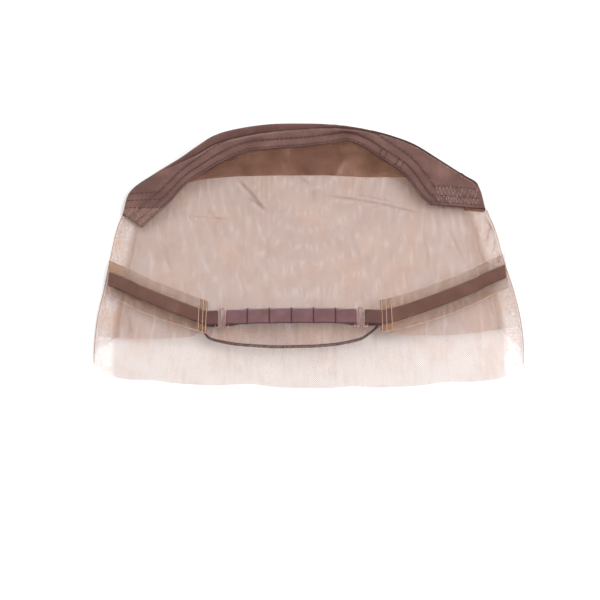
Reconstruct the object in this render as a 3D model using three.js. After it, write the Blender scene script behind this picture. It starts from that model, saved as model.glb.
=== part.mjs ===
// Wig cap, folded flat: a stretch crown panel, net front and back, and an adjustable nape strap.
// Millimetres, +Z up. The open mouth faces -Y, the crown fold +Y, and the front net lies on the ground.
import * as THREE from "three";

// Driving dimensions
const CAP_WIDTH = 289;
const CAP_DEPTH = 220;
const CROWN_HEIGHT = 25;
const NET_THICKNESS = 1.0;
const CROWN_THICKNESS = 1.2;
const PIECE_GAP = 0.3;
const SEAM_GAP = 0.7;
const MOUTH_RISE = 10;
const CROWN_RISE = 14.5;
const FLAP_WIDTH = 17;
const LAP_RAMP = 5;
const LAP_MARGIN = 3.5;
const HEM_TUCK = 5;
const HEM_WAVE_REACH = 26;
const RIDGE_SPACING = 7;
const RIDGE_VALLEY = 5;
const CREASE_HEIGHT = 1.4;
const CREASE_REACH = 3.2;

// Shares that shape the arch of the back net and the roll of the crown fold
const ARCH_START = -0.7;
const ARCH_END = 0.8;
const FOLD_ROUNDNESS = 0.32;
const FOLD_BULGE = 0.45;
const RIDGE_SET_IN = 0.3;
const NEAR_RIDGE_DROP = 0.45;
const BAND_SLOPE = 0.3;
const FLAP_DROP = 0.1;

// Nape strap dimensions
const STRAP_WIDTH = 12.4;
const STRAP_WALL = 1.0;
const STRAP_PITCH = 14.75;
const STRAP_CELLS = 6;
const STRAP_BAR = 1.8;
const STRAP_PUFF = 2.9;
const LOOP_EASING = 0.28;
const ELASTIC_THICKNESS = 1.2;
const WIRE_DIAMETER = 1.1;
const WIRE_SPACING = 2.8;
const WIRE_OVERHANG = 0.5;
const STUB_LOOP = 5;
const STUB_EASING = 1.6;
const LEVEL_REACH = 6.6;
const CASING_WIDTH = 32;
const CASING_FLANGE = 2.2;

// Mesh density
const CROWN_RIB_STEPS = 34;
const CROWN_SECTION_STEPS = 3;
const BACK_COLUMNS = 38;
const BACK_ROWS = 17;
const FRONT_ROWS = 13;
const CORNER_COLUMNS = 2;
const WIDEST_COLUMN = 0.999;
const FLAP_COLUMNS = 3;
const FOLD_STEPS = 4;
const CASING_STEPS = 13;
const CELL_STEPS = 6;
const WIRE_SIDES = 6;
const WIRE_TURN_STEPS = 5;
const SETTLE_PASSES = 8;

// Values worked out from the driving dimensions
const HALF_WIDTH = CAP_WIDTH / 2;
const HALF_DEPTH = CAP_DEPTH / 2;
const NET_HALF = NET_THICKNESS / 2;
const FOLD_RADIUS = NET_THICKNESS + PIECE_GAP;
const EDGE_TOP = 2 * NET_THICKNESS + PIECE_GAP;
const BACK_EDGE_INSET = NET_THICKNESS + 4 * PIECE_GAP;
const STRAP_LOOP_THICKNESS = 2 * STRAP_WALL + WIRE_DIAMETER + 2 * PIECE_GAP;
const CHANNEL_HEIGHT = ELASTIC_THICKNESS + 2 * PIECE_GAP;
const CASING_HEIGHT = CHANNEL_HEIGHT + 2 * NET_THICKNESS;

/** Turns rows of numbers into objects with the named columns. */
function table(columns, rows) {
  const names = columns.split(" ");
  return rows.map((row) => Object.fromEntries(names.map((name, i) => [name, row[i]])));
}

// Side outline: shares of the half depth and of the half width, from the mouth to the crown
const SIDE_OUTLINE = table("along left right", [
  [-1.0, 0.985, 0.98],
  [-0.85, 0.994, 0.99],
  [-0.65, 1.0, 1.0],
  [-0.47, 0.997, 0.996],
  [-0.27, 0.98, 0.979],
  [-0.02, 0.963, 0.945],
  [0.23, 0.943, 0.918],
  [0.4, 0.913, 0.886],
  [0.6, 0.88, 0.86],
]);

// Hem of the front net: share across the cap and share of the half depth
const FRONT_HEM = table("across along", [
  [-1.0, -0.85],
  [-0.95, -0.89],
  [-0.88, -0.93],
  [-0.6, -0.968],
  [-0.2, -0.992],
  [0.1, -1.0],
  [0.5, -0.985],
  [0.86, -0.94],
  [0.95, -0.905],
  [1.0, -0.87],
]);

// Lower edge of the back net: two flaps, and the nape curve with a notch at each casing
const NAPE_EDGE = table("across along", [
  [-1.0, -0.62],
  [-0.88, -0.65],
  [-0.7, -0.672],
  [-0.545, -0.668],
  [-0.505, -0.63],
  [-0.465, -0.695],
  [-0.38, -0.736],
  [-0.24, -0.766],
  [-0.09, -0.775],
  [0.09, -0.763],
  [0.235, -0.715],
  [0.295, -0.65],
  [0.325, -0.61],
  [0.365, -0.655],
  [0.5, -0.66],
  [0.7, -0.64],
  [0.88, -0.585],
  [1.0, -0.55],
]);

// Ribs of the crown panel, left to right: the fold line, its height, the near hem and the far seam.
// Across and along are shares of the half width and half depth, rise of the crown height.
const CROWN_RIBS = table("foldX foldY rise hemX hemY seamX seamY split", [
  [-0.916, 0.356, 0.19, -0.813, 0.223, -0.822, 0.385, 0.0],
  [-0.886, 0.545, 0.22, -0.756, 0.31, -0.745, 0.53, 0.0],
  [-0.772, 0.675, 0.34, -0.677, 0.435, -0.68, 0.6, 0.1],
  [-0.645, 0.785, 0.5, -0.603, 0.569, -0.61, 0.65, 0.5],
  [-0.56, 0.862, 0.66, -0.52, 0.655, -0.53, 0.68, 0.9],
  [-0.475, 0.932, 0.8, -0.43, 0.735, -0.45, 0.697, 1.0],
  [-0.36, 0.968, 0.92, -0.31, 0.806, -0.33, 0.71, 1.0],
  [-0.19, 0.995, 1.0, -0.185, 0.821, -0.18, 0.716, 0.9],
  [0.0, 1.0, 1.0, -0.02, 0.836, 0.0, 0.718, 0.6],
  [0.11, 0.995, 0.99, 0.12, 0.868, 0.1, 0.718, 0.45],
  [0.2, 0.985, 0.97, 0.195, 0.893, 0.2, 0.71, 0.4],
  [0.3, 0.96, 0.94, 0.277, 0.846, 0.31, 0.7, 0.3],
  [0.42, 0.915, 0.88, 0.36, 0.757, 0.4, 0.702, 0.25],
  [0.54, 0.86, 0.74, 0.455, 0.662, 0.49, 0.7, 0.2],
  [0.663, 0.757, 0.56, 0.504, 0.568, 0.58, 0.66, 0.1],
  [0.79, 0.645, 0.36, 0.55, 0.46, 0.68, 0.585, 0.0],
  [0.85, 0.585, 0.25, 0.575, 0.42, 0.74, 0.51, 0.0],
  [0.875, 0.395, 0.2, 0.598, 0.388, 0.775, 0.41, 0.0],
]);

// Creases of the back net: both ends as shares, and the height as a share of the crease height
const NET_CREASES = table("x1 y1 x2 y2 rise", [
  [-0.34, 0.62, -0.2, 0.27, 1.0],
  [0.08, 0.42, 0.57, 0.31, 0.9],
  [-0.62, 0.3, -0.45, 0.24, 0.6],
  [-0.08, 0.66, 0.03, 0.5, 0.6],
  [0.66, 0.2, 0.74, -0.06, 0.7],
]);

// Soft waves along the hem of the front net: centre and half length as shares, lift in millimetres
const HEM_WAVES = table("across reach lift", [
  [-0.72, 0.13, 2.2],
  [-0.28, 0.16, 3.0],
  [0.2, 0.12, 1.8],
  [0.62, 0.15, 2.6],
]);

// The two elastics and their casings, from the strap end (step 0) to the side seam (step 1).
// The stub is the length of elastic in view, in millimetres, between its looped end and its casing.
const NAPE_STRAP = { across: -0.082, along: -0.558 };
const LEFT_SIDE = { hand: -1, name: "left", seamAlong: -0.195, bend: 1.05, stub: 7.6 };
const RIGHT_SIDE = { hand: 1, name: "right", seamAlong: -0.135, bend: 1.22, stub: 11 };
const CASING_SHAPE = table("step above below", [
  [0, 0.5, 0.36],
  [0.5, 0.48, 0.47],
  [1, 0.52, 0.47],
]);

const mix = (a, b, t) => a + (b - a) * t;
const clamp01 = (t) => Math.min(1, Math.max(0, t));
const smooth = (t) => clamp01(t) ** 2 * (3 - 2 * clamp01(t));

/** Smooth curve through a table: a value of one column as a function of another. */
function curveThrough(rows, from, to) {
  const slope = (i) => {
    const before = rows[Math.max(0, i - 1)];
    const after = rows[Math.min(rows.length - 1, i + 1)];
    return (after[to] - before[to]) / (after[from] - before[from]);
  };
  return (value) => {
    const last = rows.length - 2;
    let i = 0;
    while (i < last && value > rows[i + 1][from]) i += 1;
    const span = rows[i + 1][from] - rows[i][from];
    const t = clamp01((value - rows[i][from]) / span);
    const rise = rows[i + 1][to] - rows[i][to];
    const startSlope = slope(i) * span;
    const endSlope = slope(i + 1) * span;
    const cubic = startSlope + endSlope - 2 * rise;
    const square = 3 * rise - 2 * startSlope - endSlope;
    return rows[i][to] + t * (startSlope + t * (square + t * cubic));
  };
}

const leftOutline = curveThrough(SIDE_OUTLINE, "along", "left");
const rightOutline = curveThrough(SIDE_OUTLINE, "along", "right");
const frontHem = curveThrough(FRONT_HEM, "across", "along");
const napeEdge = curveThrough(NAPE_EDGE, "across", "along");
const casingAbove = curveThrough(CASING_SHAPE, "step", "above");
const casingBelow = curveThrough(CASING_SHAPE, "step", "below");

/** Distance of the folded side from the middle, at a place along the cap. */
function sideAt(hand, y) {
  const outline = hand < 0 ? leftOutline : rightOutline;
  return HALF_WIDTH * outline(y / HALF_DEPTH);
}

/** Share of a bump that falls off with the distance from a line between two points. */
function creaseAt(crease, x, y) {
  const start = new THREE.Vector2(crease.x1 * HALF_WIDTH, crease.y1 * HALF_DEPTH);
  const run = new THREE.Vector2(crease.x2 * HALF_WIDTH, crease.y2 * HALF_DEPTH).sub(start);
  const offset = new THREE.Vector2(x, y).sub(start);
  const along = offset.dot(run) / run.lengthSq();
  const off = offset.sub(run.clone().multiplyScalar(clamp01(along))).length();
  const fade = smooth(1 - Math.abs(2 * clamp01(along) - 1));
  return crease.rise * fade * Math.exp(-((off / CREASE_REACH) ** 2));
}

/** Height of the top of the back net: a low arch between the folded sides. */
function backTop(x, y) {
  const share = Math.min(1, Math.abs(x) / sideAt(Math.sign(x), y));
  const along = (y / HALF_DEPTH - ARCH_START) / (ARCH_END - ARCH_START);
  const rise = mix(MOUTH_RISE, CROWN_RISE, smooth(along));
  const creases = NET_CREASES.reduce((sum, crease) => sum + creaseAt(crease, x, y), 0);
  return EDGE_TOP + rise * Math.cos((share * Math.PI) / 2) + CREASE_HEIGHT * creases;
}

/** Height of the outermost net, where the front net is lapped over the back net at the sides. */
function lappedTop(x, y) {
  const inward = sideAt(Math.sign(x), y) - Math.abs(x);
  const lap = smooth((FLAP_WIDTH + LAP_RAMP + LAP_MARGIN - inward) / LAP_RAMP);
  return backTop(x, y) + lap * (NET_THICKNESS + PIECE_GAP);
}

/** Lift of the front net along its hem. */
function hemLift(x, y, hemY) {
  const nearness = smooth(1 - (y - hemY) / HEM_WAVE_REACH);
  const waves = HEM_WAVES.reduce((sum, wave) => {
    const off = (x / HALF_WIDTH - wave.across) / wave.reach;
    return sum + wave.lift * smooth(1 - Math.abs(off));
  }, 0);
  return nearness * waves;
}

/** Closed cloth: a grid of middle points, given half a thickness to each side. */
function clothFrom(columns, rows, thickness, place) {
  const middle = [];
  for (let i = 0; i <= columns; i += 1) {
    for (let j = 0; j <= rows; j += 1) middle.push(place(i, j));
  }
  const at = (i, j) => i * (rows + 1) + j;
  const clampedPoint = (i, j) => {
    const column = Math.min(columns, Math.max(0, i));
    const row = Math.min(rows, Math.max(0, j));
    return middle[at(column, row)];
  };
  const positions = [];
  for (const side of [1, -1]) {
    for (let i = 0; i <= columns; i += 1) {
      for (let j = 0; j <= rows; j += 1) {
        const across = clampedPoint(i + 1, j).clone().sub(clampedPoint(i - 1, j));
        const along = clampedPoint(i, j + 1).clone().sub(clampedPoint(i, j - 1));
        const normal = across.cross(along).normalize();
        const point = middle[at(i, j)].clone().addScaledVector(normal, (side * thickness) / 2);
        positions.push(point.x, point.y, point.z);
      }
    }
  }
  return closedGrid(columns, rows, positions);
}

/** Closed solid from two grids of points, one over the other, joined round their rims. */
function closedGrid(columns, rows, positions) {
  const layer = (columns + 1) * (rows + 1);
  const at = (i, j) => i * (rows + 1) + j;
  const faces = [];
  const quad = (a, b, c, d) => faces.push(a, b, c, a, c, d);
  for (let i = 0; i < columns; i += 1) {
    for (let j = 0; j < rows; j += 1) {
      const corners = [at(i, j), at(i + 1, j), at(i + 1, j + 1), at(i, j + 1)];
      quad(...corners);
      quad(...corners.map((corner) => corner + layer).reverse());
    }
  }
  for (let i = 0; i < columns; i += 1) {
    quad(at(i, 0) + layer, at(i + 1, 0) + layer, at(i + 1, 0), at(i, 0));
    quad(at(i, rows), at(i + 1, rows), at(i + 1, rows) + layer, at(i, rows) + layer);
  }
  for (let j = 0; j < rows; j += 1) {
    quad(at(0, j), at(0, j + 1), at(0, j + 1) + layer, at(0, j) + layer);
    quad(at(columns, j) + layer, at(columns, j + 1) + layer, at(columns, j + 1), at(columns, j));
  }
  return solidFrom(positions, faces);
}

/** Mesh from its points and triangles, facing out. */
function solidFrom(positions, faces) {
  const geometry = new THREE.BufferGeometry();
  geometry.setAttribute("position", new THREE.Float32BufferAttribute(positions, 3));
  geometry.setIndex(faces);
  return facingOut(geometry);
}

/** Volume of a closed mesh, negative where its faces point in. */
function signedVolume(geometry) {
  const position = geometry.getAttribute("position");
  const index = geometry.getIndex();
  const count = index ? index.count : position.count;
  const corner = (k) => new THREE.Vector3().fromBufferAttribute(position, index ? index.getX(k) : k);
  let sum = 0;
  for (let k = 0; k < count; k += 3) sum += corner(k).dot(corner(k + 1).cross(corner(k + 2))) / 6;
  return sum;
}

/** Turns every face over where a mesh is inside out. */
function facingOut(geometry) {
  if (signedVolume(geometry) > 0) return geometry;
  const index = geometry.getIndex();
  if (index) {
    for (let k = 0; k < index.count; k += 3) {
      const second = index.getX(k + 1);
      index.setX(k + 1, index.getX(k + 2));
      index.setX(k + 2, second);
    }
    return geometry;
  }
  const position = geometry.getAttribute("position");
  for (let k = 0; k < position.count; k += 3) {
    const second = new THREE.Vector3().fromBufferAttribute(position, k + 1);
    const third = new THREE.Vector3().fromBufferAttribute(position, k + 2);
    position.setXYZ(k + 1, third.x, third.y, third.z);
    position.setXYZ(k + 2, second.x, second.y, second.z);
  }
  return geometry;
}

/** Moves every point of a mesh by a function of its place. */
function bend(geometry, place) {
  const position = geometry.getAttribute("position");
  const point = new THREE.Vector3();
  for (let k = 0; k < position.count; k += 1) {
    point.fromBufferAttribute(position, k);
    const moved = place(point);
    position.setXYZ(k, moved.x, moved.y, moved.z);
  }
  return facingOut(geometry);
}

/** A column of the crown ribs as a smooth curve over the rib number. */
function ribColumn(name) {
  return curveThrough(CROWN_RIBS.map((rib, step) => ({ ...rib, step })), "step", name);
}

const crownCurves = {
  foldX: ribColumn("foldX"),
  foldY: ribColumn("foldY"),
  rise: ribColumn("rise"),
  hemX: ribColumn("hemX"),
  hemY: ribColumn("hemY"),
  seamX: ribColumn("seamX"),
  seamY: ribColumn("seamY"),
  split: ribColumn("split"),
};

/** The points of one crown rib, from the far seam on the ground, over the fold, to the near hem. */
function crownRib(step) {
  const rib = Object.fromEntries(Object.entries(crownCurves).map(([name, curve]) => [name, curve(step)]));
  const half = CROWN_THICKNESS / 2;
  const fold = new THREE.Vector2(rib.foldX * HALF_WIDTH, rib.foldY * HALF_DEPTH);
  const hem = new THREE.Vector2(rib.hemX * HALF_WIDTH, rib.hemY * HALF_DEPTH);
  const seam = new THREE.Vector2(rib.seamX * HALF_WIDTH, rib.seamY * HALF_DEPTH);
  const toHem = hem.clone().sub(fold).normalize();
  const toSeam = seam.clone().sub(fold).normalize();
  const ridge = rib.rise * CROWN_HEIGHT - half;
  const roundness = rib.rise * CROWN_HEIGHT * FOLD_ROUNDNESS;
  const edge = fold.clone().addScaledVector(toHem, half);
  const at = (base, direction, distance, z) => {
    const spot = base.clone().addScaledVector(direction, distance);
    return new THREE.Vector3(spot.x, spot.y, z);
  };
  const spacing = rib.split * RIDGE_SPACING;
  const firstTop = roundness * RIDGE_SET_IN;
  const hemZ = backTop(hem.x, hem.y) + PIECE_GAP + half;
  const near = at(edge, toHem, firstTop + spacing, ridge - rib.split * RIDGE_VALLEY * NEAR_RIDGE_DROP);
  const nearHem = at(hem, toHem, -HEM_TUCK, 0);
  nearHem.z = Math.max(backTop(nearHem.x, nearHem.y) + PIECE_GAP + half, mix(hemZ, near.z, BAND_SLOPE));
  return [
    new THREE.Vector3(seam.x, seam.y, half),
    at(edge, toSeam, roundness, half),
    at(edge, toHem, 0, mix(half, ridge, FOLD_BULGE)),
    at(edge, toHem, firstTop, ridge),
    at(edge, toHem, firstTop + spacing / 2, ridge - rib.split * RIDGE_VALLEY),
    near,
    nearHem,
    new THREE.Vector3(hem.x, hem.y, hemZ),
  ];
}

/** Crown panel and hem band in one cloth: over the fold, with two ridges and a valley between them. */
function crownPanel() {
  const lastRib = CROWN_RIBS.length - 1;
  const ribs = [];
  for (let i = 0; i <= CROWN_RIB_STEPS; i += 1) {
    const points = crownRib((lastRib * i) / CROWN_RIB_STEPS);
    ribs.push(new THREE.CatmullRomCurve3(points, false, "centripetal"));
  }
  const sections = CROWN_SECTION_STEPS * (ribs[0].points.length - 1);
  return clothFrom(CROWN_RIB_STEPS, sections, CROWN_THICKNESS, (i, j) => {
    const point = ribs[i].getPoint(j / sections);
    point.z = Math.max(point.z, CROWN_THICKNESS / 2);
    return point;
  });
}

/** Edge of the crown panel as a line from side to side, read as a place along for a place across. */
function crownEdge(pick) {
  const lastRib = CROWN_RIBS.length - 1;
  const line = [];
  for (let i = 0; i <= CROWN_RIB_STEPS; i += 1) {
    const points = crownRib((lastRib * i) / CROWN_RIB_STEPS);
    line.push(pick(points));
  }
  const first = crownRib(0)[2];
  const last = crownRib(lastRib)[2];
  const rows = [first, ...line, last];
  return (x) => {
    let i = 0;
    while (i < rows.length - 2 && x > rows[i + 1].x) i += 1;
    const share = clamp01((x - rows[i].x) / (rows[i + 1].x - rows[i].x));
    return mix(rows[i].y, rows[i + 1].y, share);
  };
}

const nearHemAt = crownEdge((points) => points[points.length - 1]);
const farSeamAt = crownEdge((points) => points[0]);

/** Back net: an arched sheet from under the hem band down to the nape, between the folded sides. */
function backNet() {
  return clothFrom(BACK_COLUMNS, BACK_ROWS, NET_THICKNESS, (i, j) => {
    const share = mix(-1, 1, i / BACK_COLUMNS);
    const hand = Math.sign(share) || 1;
    const inset = BACK_EDGE_INSET * Math.abs(share);
    const low = napeEdge(share) * HALF_DEPTH;
    let high = 0;
    for (let pass = 0; pass < SETTLE_PASSES; pass += 1) {
      const x = hand * (Math.abs(share) * (sideAt(hand, high) - inset));
      const tuck = mix(HEM_TUCK, -SEAM_GAP, Math.abs(share) ** 4);
      high = nearHemAt(x) + tuck;
    }
    const y = mix(low, high, j / BACK_ROWS);
    const x = share * (sideAt(hand, y) - inset);
    return new THREE.Vector3(x, y, backTop(x, y) - NET_HALF);
  });
}

/** Top ends of the ground columns: along the far seam of the crown panel, and its end ribs. */
function seamPoints() {
  const lastRib = CROWN_RIBS.length - 1;
  const seam = [];
  for (let i = 0; i <= CROWN_RIB_STEPS; i += 1) seam.push(crownRib((lastRib * i) / CROWN_RIB_STEPS)[0]);
  const corner = (rib, k) => rib[1].clone().lerp(rib[0], k / CORNER_COLUMNS);
  const leftCorner = [];
  const rightCorner = [];
  for (let k = 0; k < CORNER_COLUMNS; k += 1) {
    leftCorner.push(corner(crownRib(0), k));
    rightCorner.unshift(corner(crownRib(lastRib), k));
  }
  return [...leftCorner, ...seam, ...rightCorner];
}

/** Places across the front net: lapped flap, side fold, ground, side fold and lapped flap. */
function frontColumns() {
  const half = [];
  for (let k = 0; k < FLAP_COLUMNS; k += 1) half.push({ kind: "flap", share: k / FLAP_COLUMNS });
  for (let k = 0; k <= FOLD_STEPS; k += 1) half.push({ kind: "fold", share: k / FOLD_STEPS });
  const left = half.map((column) => ({ ...column, hand: -1 }));
  const right = half.map((column) => ({ ...column, hand: 1 })).reverse();
  const seam = seamPoints();
  const ground = seam.map((top, k) => ({
    kind: "ground",
    share: mix(-1, 1, (k + 1) / (seam.length + 1)),
    top,
  }));
  return [...left, ...ground, ...right];
}

/** Inner reach of the ground, where the side fold begins. */
function groundReach(hand, y) {
  return sideAt(hand, y) - FOLD_RADIUS - NET_HALF;
}

/** Front net: flat on the ground, folded up at both sides and lapped over the back net. */
function frontNet() {
  const columns = frontColumns();
  const cornerLow = (hand) => frontHem(hand) * HALF_DEPTH;
  const flapLow = (hand) => mix(napeEdge(hand) * HALF_DEPTH, cornerLow(hand), FLAP_DROP);
  const place = (i, j) => {
    const { kind, share, hand, top } = columns[i];
    const t = j / FRONT_ROWS;
    if (kind === "ground") {
      const low = frontHem(share) * HALF_DEPTH;
      const high = top.y - SEAM_GAP;
      const y = mix(low, high, t);
      const side = Math.sign(share) || 1;
      const across = top.x / groundReach(Math.sign(top.x) || 1, high);
      const topShare = Math.max(-WIDEST_COLUMN, Math.min(WIDEST_COLUMN, across));
      const x = mix(share, topShare, t) * groundReach(side, y);
      return new THREE.Vector3(x, y, NET_HALF + hemLift(x, y, low));
    }
    if (kind === "flap") {
      const inward = mix(FLAP_WIDTH, FOLD_RADIUS + NET_HALF, share);
      const edge = sideAt(hand, nearHemAt(hand * HALF_WIDTH)) - inward;
      const high = nearHemAt(hand * edge) - SEAM_GAP;
      const y = mix(mix(flapLow(hand), cornerLow(hand), share / 2), high, t);
      const x = hand * (sideAt(hand, y) - inward);
      return new THREE.Vector3(x, y, backTop(x, y) + PIECE_GAP + NET_HALF);
    }
    const turn = Math.PI * (0.5 - share);
    const edge = groundReach(hand, nearHemAt(hand * HALF_WIDTH)) + FOLD_RADIUS * Math.cos(turn);
    const seamAt = share < 0.5 ? nearHemAt : farSeamAt;
    const low = mix(mix(flapLow(hand), cornerLow(hand), 0.5), cornerLow(hand), share);
    const y = mix(low, seamAt(hand * edge) - SEAM_GAP, t);
    const x = hand * (groundReach(hand, y) + FOLD_RADIUS * Math.cos(turn));
    return new THREE.Vector3(x, y, NET_HALF + FOLD_RADIUS + FOLD_RADIUS * Math.sin(turn));
  };
  return clothFrom(columns.length - 1, FRONT_ROWS, NET_THICKNESS, place);
}

// Places along the nape strap
const STRAP_LENGTH = STRAP_PITCH * STRAP_CELLS;
const STRAP_LOOP = STRAP_PITCH - STRAP_BAR;
const STRAP_X = NAPE_STRAP.across * HALF_WIDTH;
const STRAP_Y = NAPE_STRAP.along * HALF_DEPTH;
const HOOK_REACH = WIRE_SPACING / 2 + WIRE_DIAMETER / 2 + PIECE_GAP;
const STRAP_MIDDLE = PIECE_GAP + STRAP_LOOP_THICKNESS / 2;

/** Centre of a hook, between the end of the slotted strap and the end of an elastic. */
function hookX(hand) {
  return STRAP_X + hand * (STRAP_LENGTH / 2 + HOOK_REACH);
}

/** Closed band with open loops through its width, its points set by place(along, across, height). */
function loopedBand(steps, loops, width, thicknessAt, place) {
  const stations = [...new Set([...steps, ...loops.flat()])].sort((a, b) => a - b);
  const inLoop = (s) => loops.some(([from, to]) => s > from && s < to);
  const positions = [];
  for (const s of stations) {
    const outer = thicknessAt(s) / 2;
    const inner = Math.max(PIECE_GAP, outer - STRAP_WALL);
    for (const across of [-width / 2, width / 2]) {
      for (const height of [-outer, -inner, inner, outer]) {
        const point = place(s, across, height);
        positions.push(point.x, point.y, point.z);
      }
    }
  }
  const levels = 4;
  const at = (i, far, level) => (i * 2 + far) * levels + level;
  const faces = [];
  const quad = (a, b, c, d) => faces.push(a, b, c, a, c, d);
  const last = stations.length - 1;
  for (let i = 0; i < last; i += 1) {
    const open = inLoop((stations[i] + stations[i + 1]) / 2);
    quad(at(i, 0, 0), at(i, 1, 0), at(i + 1, 1, 0), at(i + 1, 0, 0));
    quad(at(i, 0, 3), at(i + 1, 0, 3), at(i + 1, 1, 3), at(i, 1, 3));
    for (const level of open ? [0, 2] : [0, 1, 2]) {
      quad(at(i, 0, level), at(i + 1, 0, level), at(i + 1, 0, level + 1), at(i, 0, level + 1));
      quad(at(i, 1, level), at(i, 1, level + 1), at(i + 1, 1, level + 1), at(i + 1, 1, level));
    }
    if (!open) continue;
    quad(at(i, 0, 1), at(i + 1, 0, 1), at(i + 1, 1, 1), at(i, 1, 1));
    quad(at(i, 0, 2), at(i, 1, 2), at(i + 1, 1, 2), at(i + 1, 0, 2));
    if (!inLoop(stations[i])) quad(at(i, 0, 1), at(i, 1, 1), at(i, 1, 2), at(i, 0, 2));
    if (!inLoop(stations[i + 1])) {
      quad(at(i + 1, 0, 1), at(i + 1, 0, 2), at(i + 1, 1, 2), at(i + 1, 1, 1));
    }
  }
  for (const level of [0, 1, 2]) {
    quad(at(0, 0, level), at(0, 0, level + 1), at(0, 1, level + 1), at(0, 1, level));
    quad(at(last, 0, level), at(last, 1, level), at(last, 1, level + 1), at(last, 0, level + 1));
  }
  return solidFrom(positions, faces);
}

/** Thickness of a looped end: full over the loop, easing down to a plain thickness beyond it. */
function loopThickness(distance, plain) {
  const easing = STRAP_LOOP * LOOP_EASING;
  return mix(STRAP_LOOP_THICKNESS, plain, smooth((distance - STRAP_LOOP + easing) / easing));
}

/** Slotted strap: two layers of elastic, joined by bars into a row of open loops. */
function slottedStrap() {
  const thicknessAt = (s) => {
    const fromEnd = Math.min(s, STRAP_LENGTH - s);
    const inCell = (s % STRAP_PITCH) / STRAP_PITCH;
    const puffed = mix(2 * STRAP_WALL, STRAP_PUFF, Math.sqrt(Math.sin(Math.PI * inCell)));
    if (fromEnd < STRAP_PITCH - STRAP_BAR / 2) return loopThickness(fromEnd, 2 * STRAP_WALL);
    return puffed;
  };
  const stations = [];
  for (let k = 0; k <= STRAP_CELLS * CELL_STEPS; k += 1) stations.push((k * STRAP_PITCH) / CELL_STEPS);
  const loops = [];
  for (let cell = 0; cell < STRAP_CELLS; cell += 1) {
    const from = cell * STRAP_PITCH + (cell === 0 ? STRAP_WALL : STRAP_BAR / 2);
    const lastCell = cell === STRAP_CELLS - 1;
    const to = (cell + 1) * STRAP_PITCH - (lastCell ? STRAP_WALL : STRAP_BAR / 2);
    loops.push([from, to]);
  }
  return loopedBand(stations, loops, STRAP_WIDTH, thicknessAt, (s, across, height) => {
    const x = STRAP_X - STRAP_LENGTH / 2 + s;
    return new THREE.Vector3(x, STRAP_Y + across, strapZ(x) + height);
  });
}

/** Height of the middle of the nape strap, over the back net. */
function strapZ(x) {
  return lappedTop(x, STRAP_Y) + STRAP_MIDDLE;
}

/** Hook: one bent wire with two bars in view, and an end in the loop of each elastic. */
function hook(hand) {
  const half = STRAP_WIDTH / 2;
  const low = -half - WIRE_OVERHANG;
  const high = half + WIRE_OVERHANG;
  const tip = half - WIRE_SPACING;
  const legs = [-1.5, -0.5, 0.5, 1.5].map((share) => share * WIRE_SPACING);
  const points = [new THREE.Vector3(legs[0], tip, 0)];
  const turn = (leg, y, down) => {
    for (let k = 0; k <= WIRE_TURN_STEPS; k += 1) {
      const angle = Math.PI * (1 - k / WIRE_TURN_STEPS) * (down ? -1 : 1);
      const x = (legs[leg] + legs[leg + 1]) / 2 + (WIRE_SPACING / 2) * Math.cos(angle);
      points.push(new THREE.Vector3(x, y + (WIRE_SPACING / 2) * Math.sin(angle), 0));
    }
  };
  turn(0, low, true);
  turn(1, high, false);
  turn(2, low, true);
  points.push(new THREE.Vector3(legs[3], tip, 0));
  return wireAlong(points, hookX(hand));
}

/** Round wire through flat points, placed over the strap line. */
function wireAlong(points, centreX) {
  const radius = WIRE_DIAMETER / 2;
  const positions = [];
  points.forEach((point, i) => {
    const before = points[Math.max(0, i - 1)];
    const after = points[Math.min(points.length - 1, i + 1)];
    const run = after.clone().sub(before).normalize();
    const side = new THREE.Vector3(-run.y, run.x, 0);
    for (let k = 0; k < WIRE_SIDES; k += 1) {
      const angle = (2 * Math.PI * k) / WIRE_SIDES;
      const x = point.x + side.x * radius * Math.cos(angle);
      const y = point.y + side.y * radius * Math.cos(angle);
      positions.push(centreX + x, STRAP_Y + y, strapZ(centreX + point.x) + radius * Math.sin(angle));
    }
  });
  const faces = [];
  const at = (i, k) => i * WIRE_SIDES + (k % WIRE_SIDES);
  for (let i = 0; i < points.length - 1; i += 1) {
    for (let k = 0; k < WIRE_SIDES; k += 1) {
      faces.push(at(i, k), at(i, k + 1), at(i + 1, k + 1), at(i, k), at(i + 1, k + 1), at(i + 1, k));
    }
  }
  for (let k = 1; k < WIRE_SIDES - 1; k += 1) {
    faces.push(at(0, 0), at(0, k + 1), at(0, k));
    faces.push(at(points.length - 1, 0), at(points.length - 1, k), at(points.length - 1, k + 1));
  }
  return solidFrom(positions, faces);
}

/** Run of one elastic: from its looped end beside the hook to the folded side of the cap. */
function elasticRun(side) {
  const startX = hookX(side.hand) + side.hand * HOOK_REACH;
  const seamY = side.seamAlong * HALF_DEPTH;
  const endX = side.hand * (sideAt(side.hand, seamY) - BACK_EDGE_INSET);
  const casingX = startX + side.hand * side.stub;
  const centreY = (x) => {
    const share = clamp01((x - casingX) / (endX - casingX));
    return mix(STRAP_Y, seamY, share ** side.bend);
  };
  const bedAt = (x, w) => {
    const reach = STRAP_WIDTH / 2;
    const above = lappedTop(x, centreY(x) + reach);
    const below = lappedTop(x, centreY(x) - reach);
    const middle = Math.max(lappedTop(x, centreY(x)), (above + below) / 2);
    const sloping = middle + ((above - below) / STRAP_WIDTH) * w;
    const level = smooth((side.hand * (x - casingX)) / LEVEL_REACH);
    return mix(lappedTop(x, STRAP_Y), sloping, level);
  };
  return { startX, endX, casingX, centreY, bedAt };
}

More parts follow.
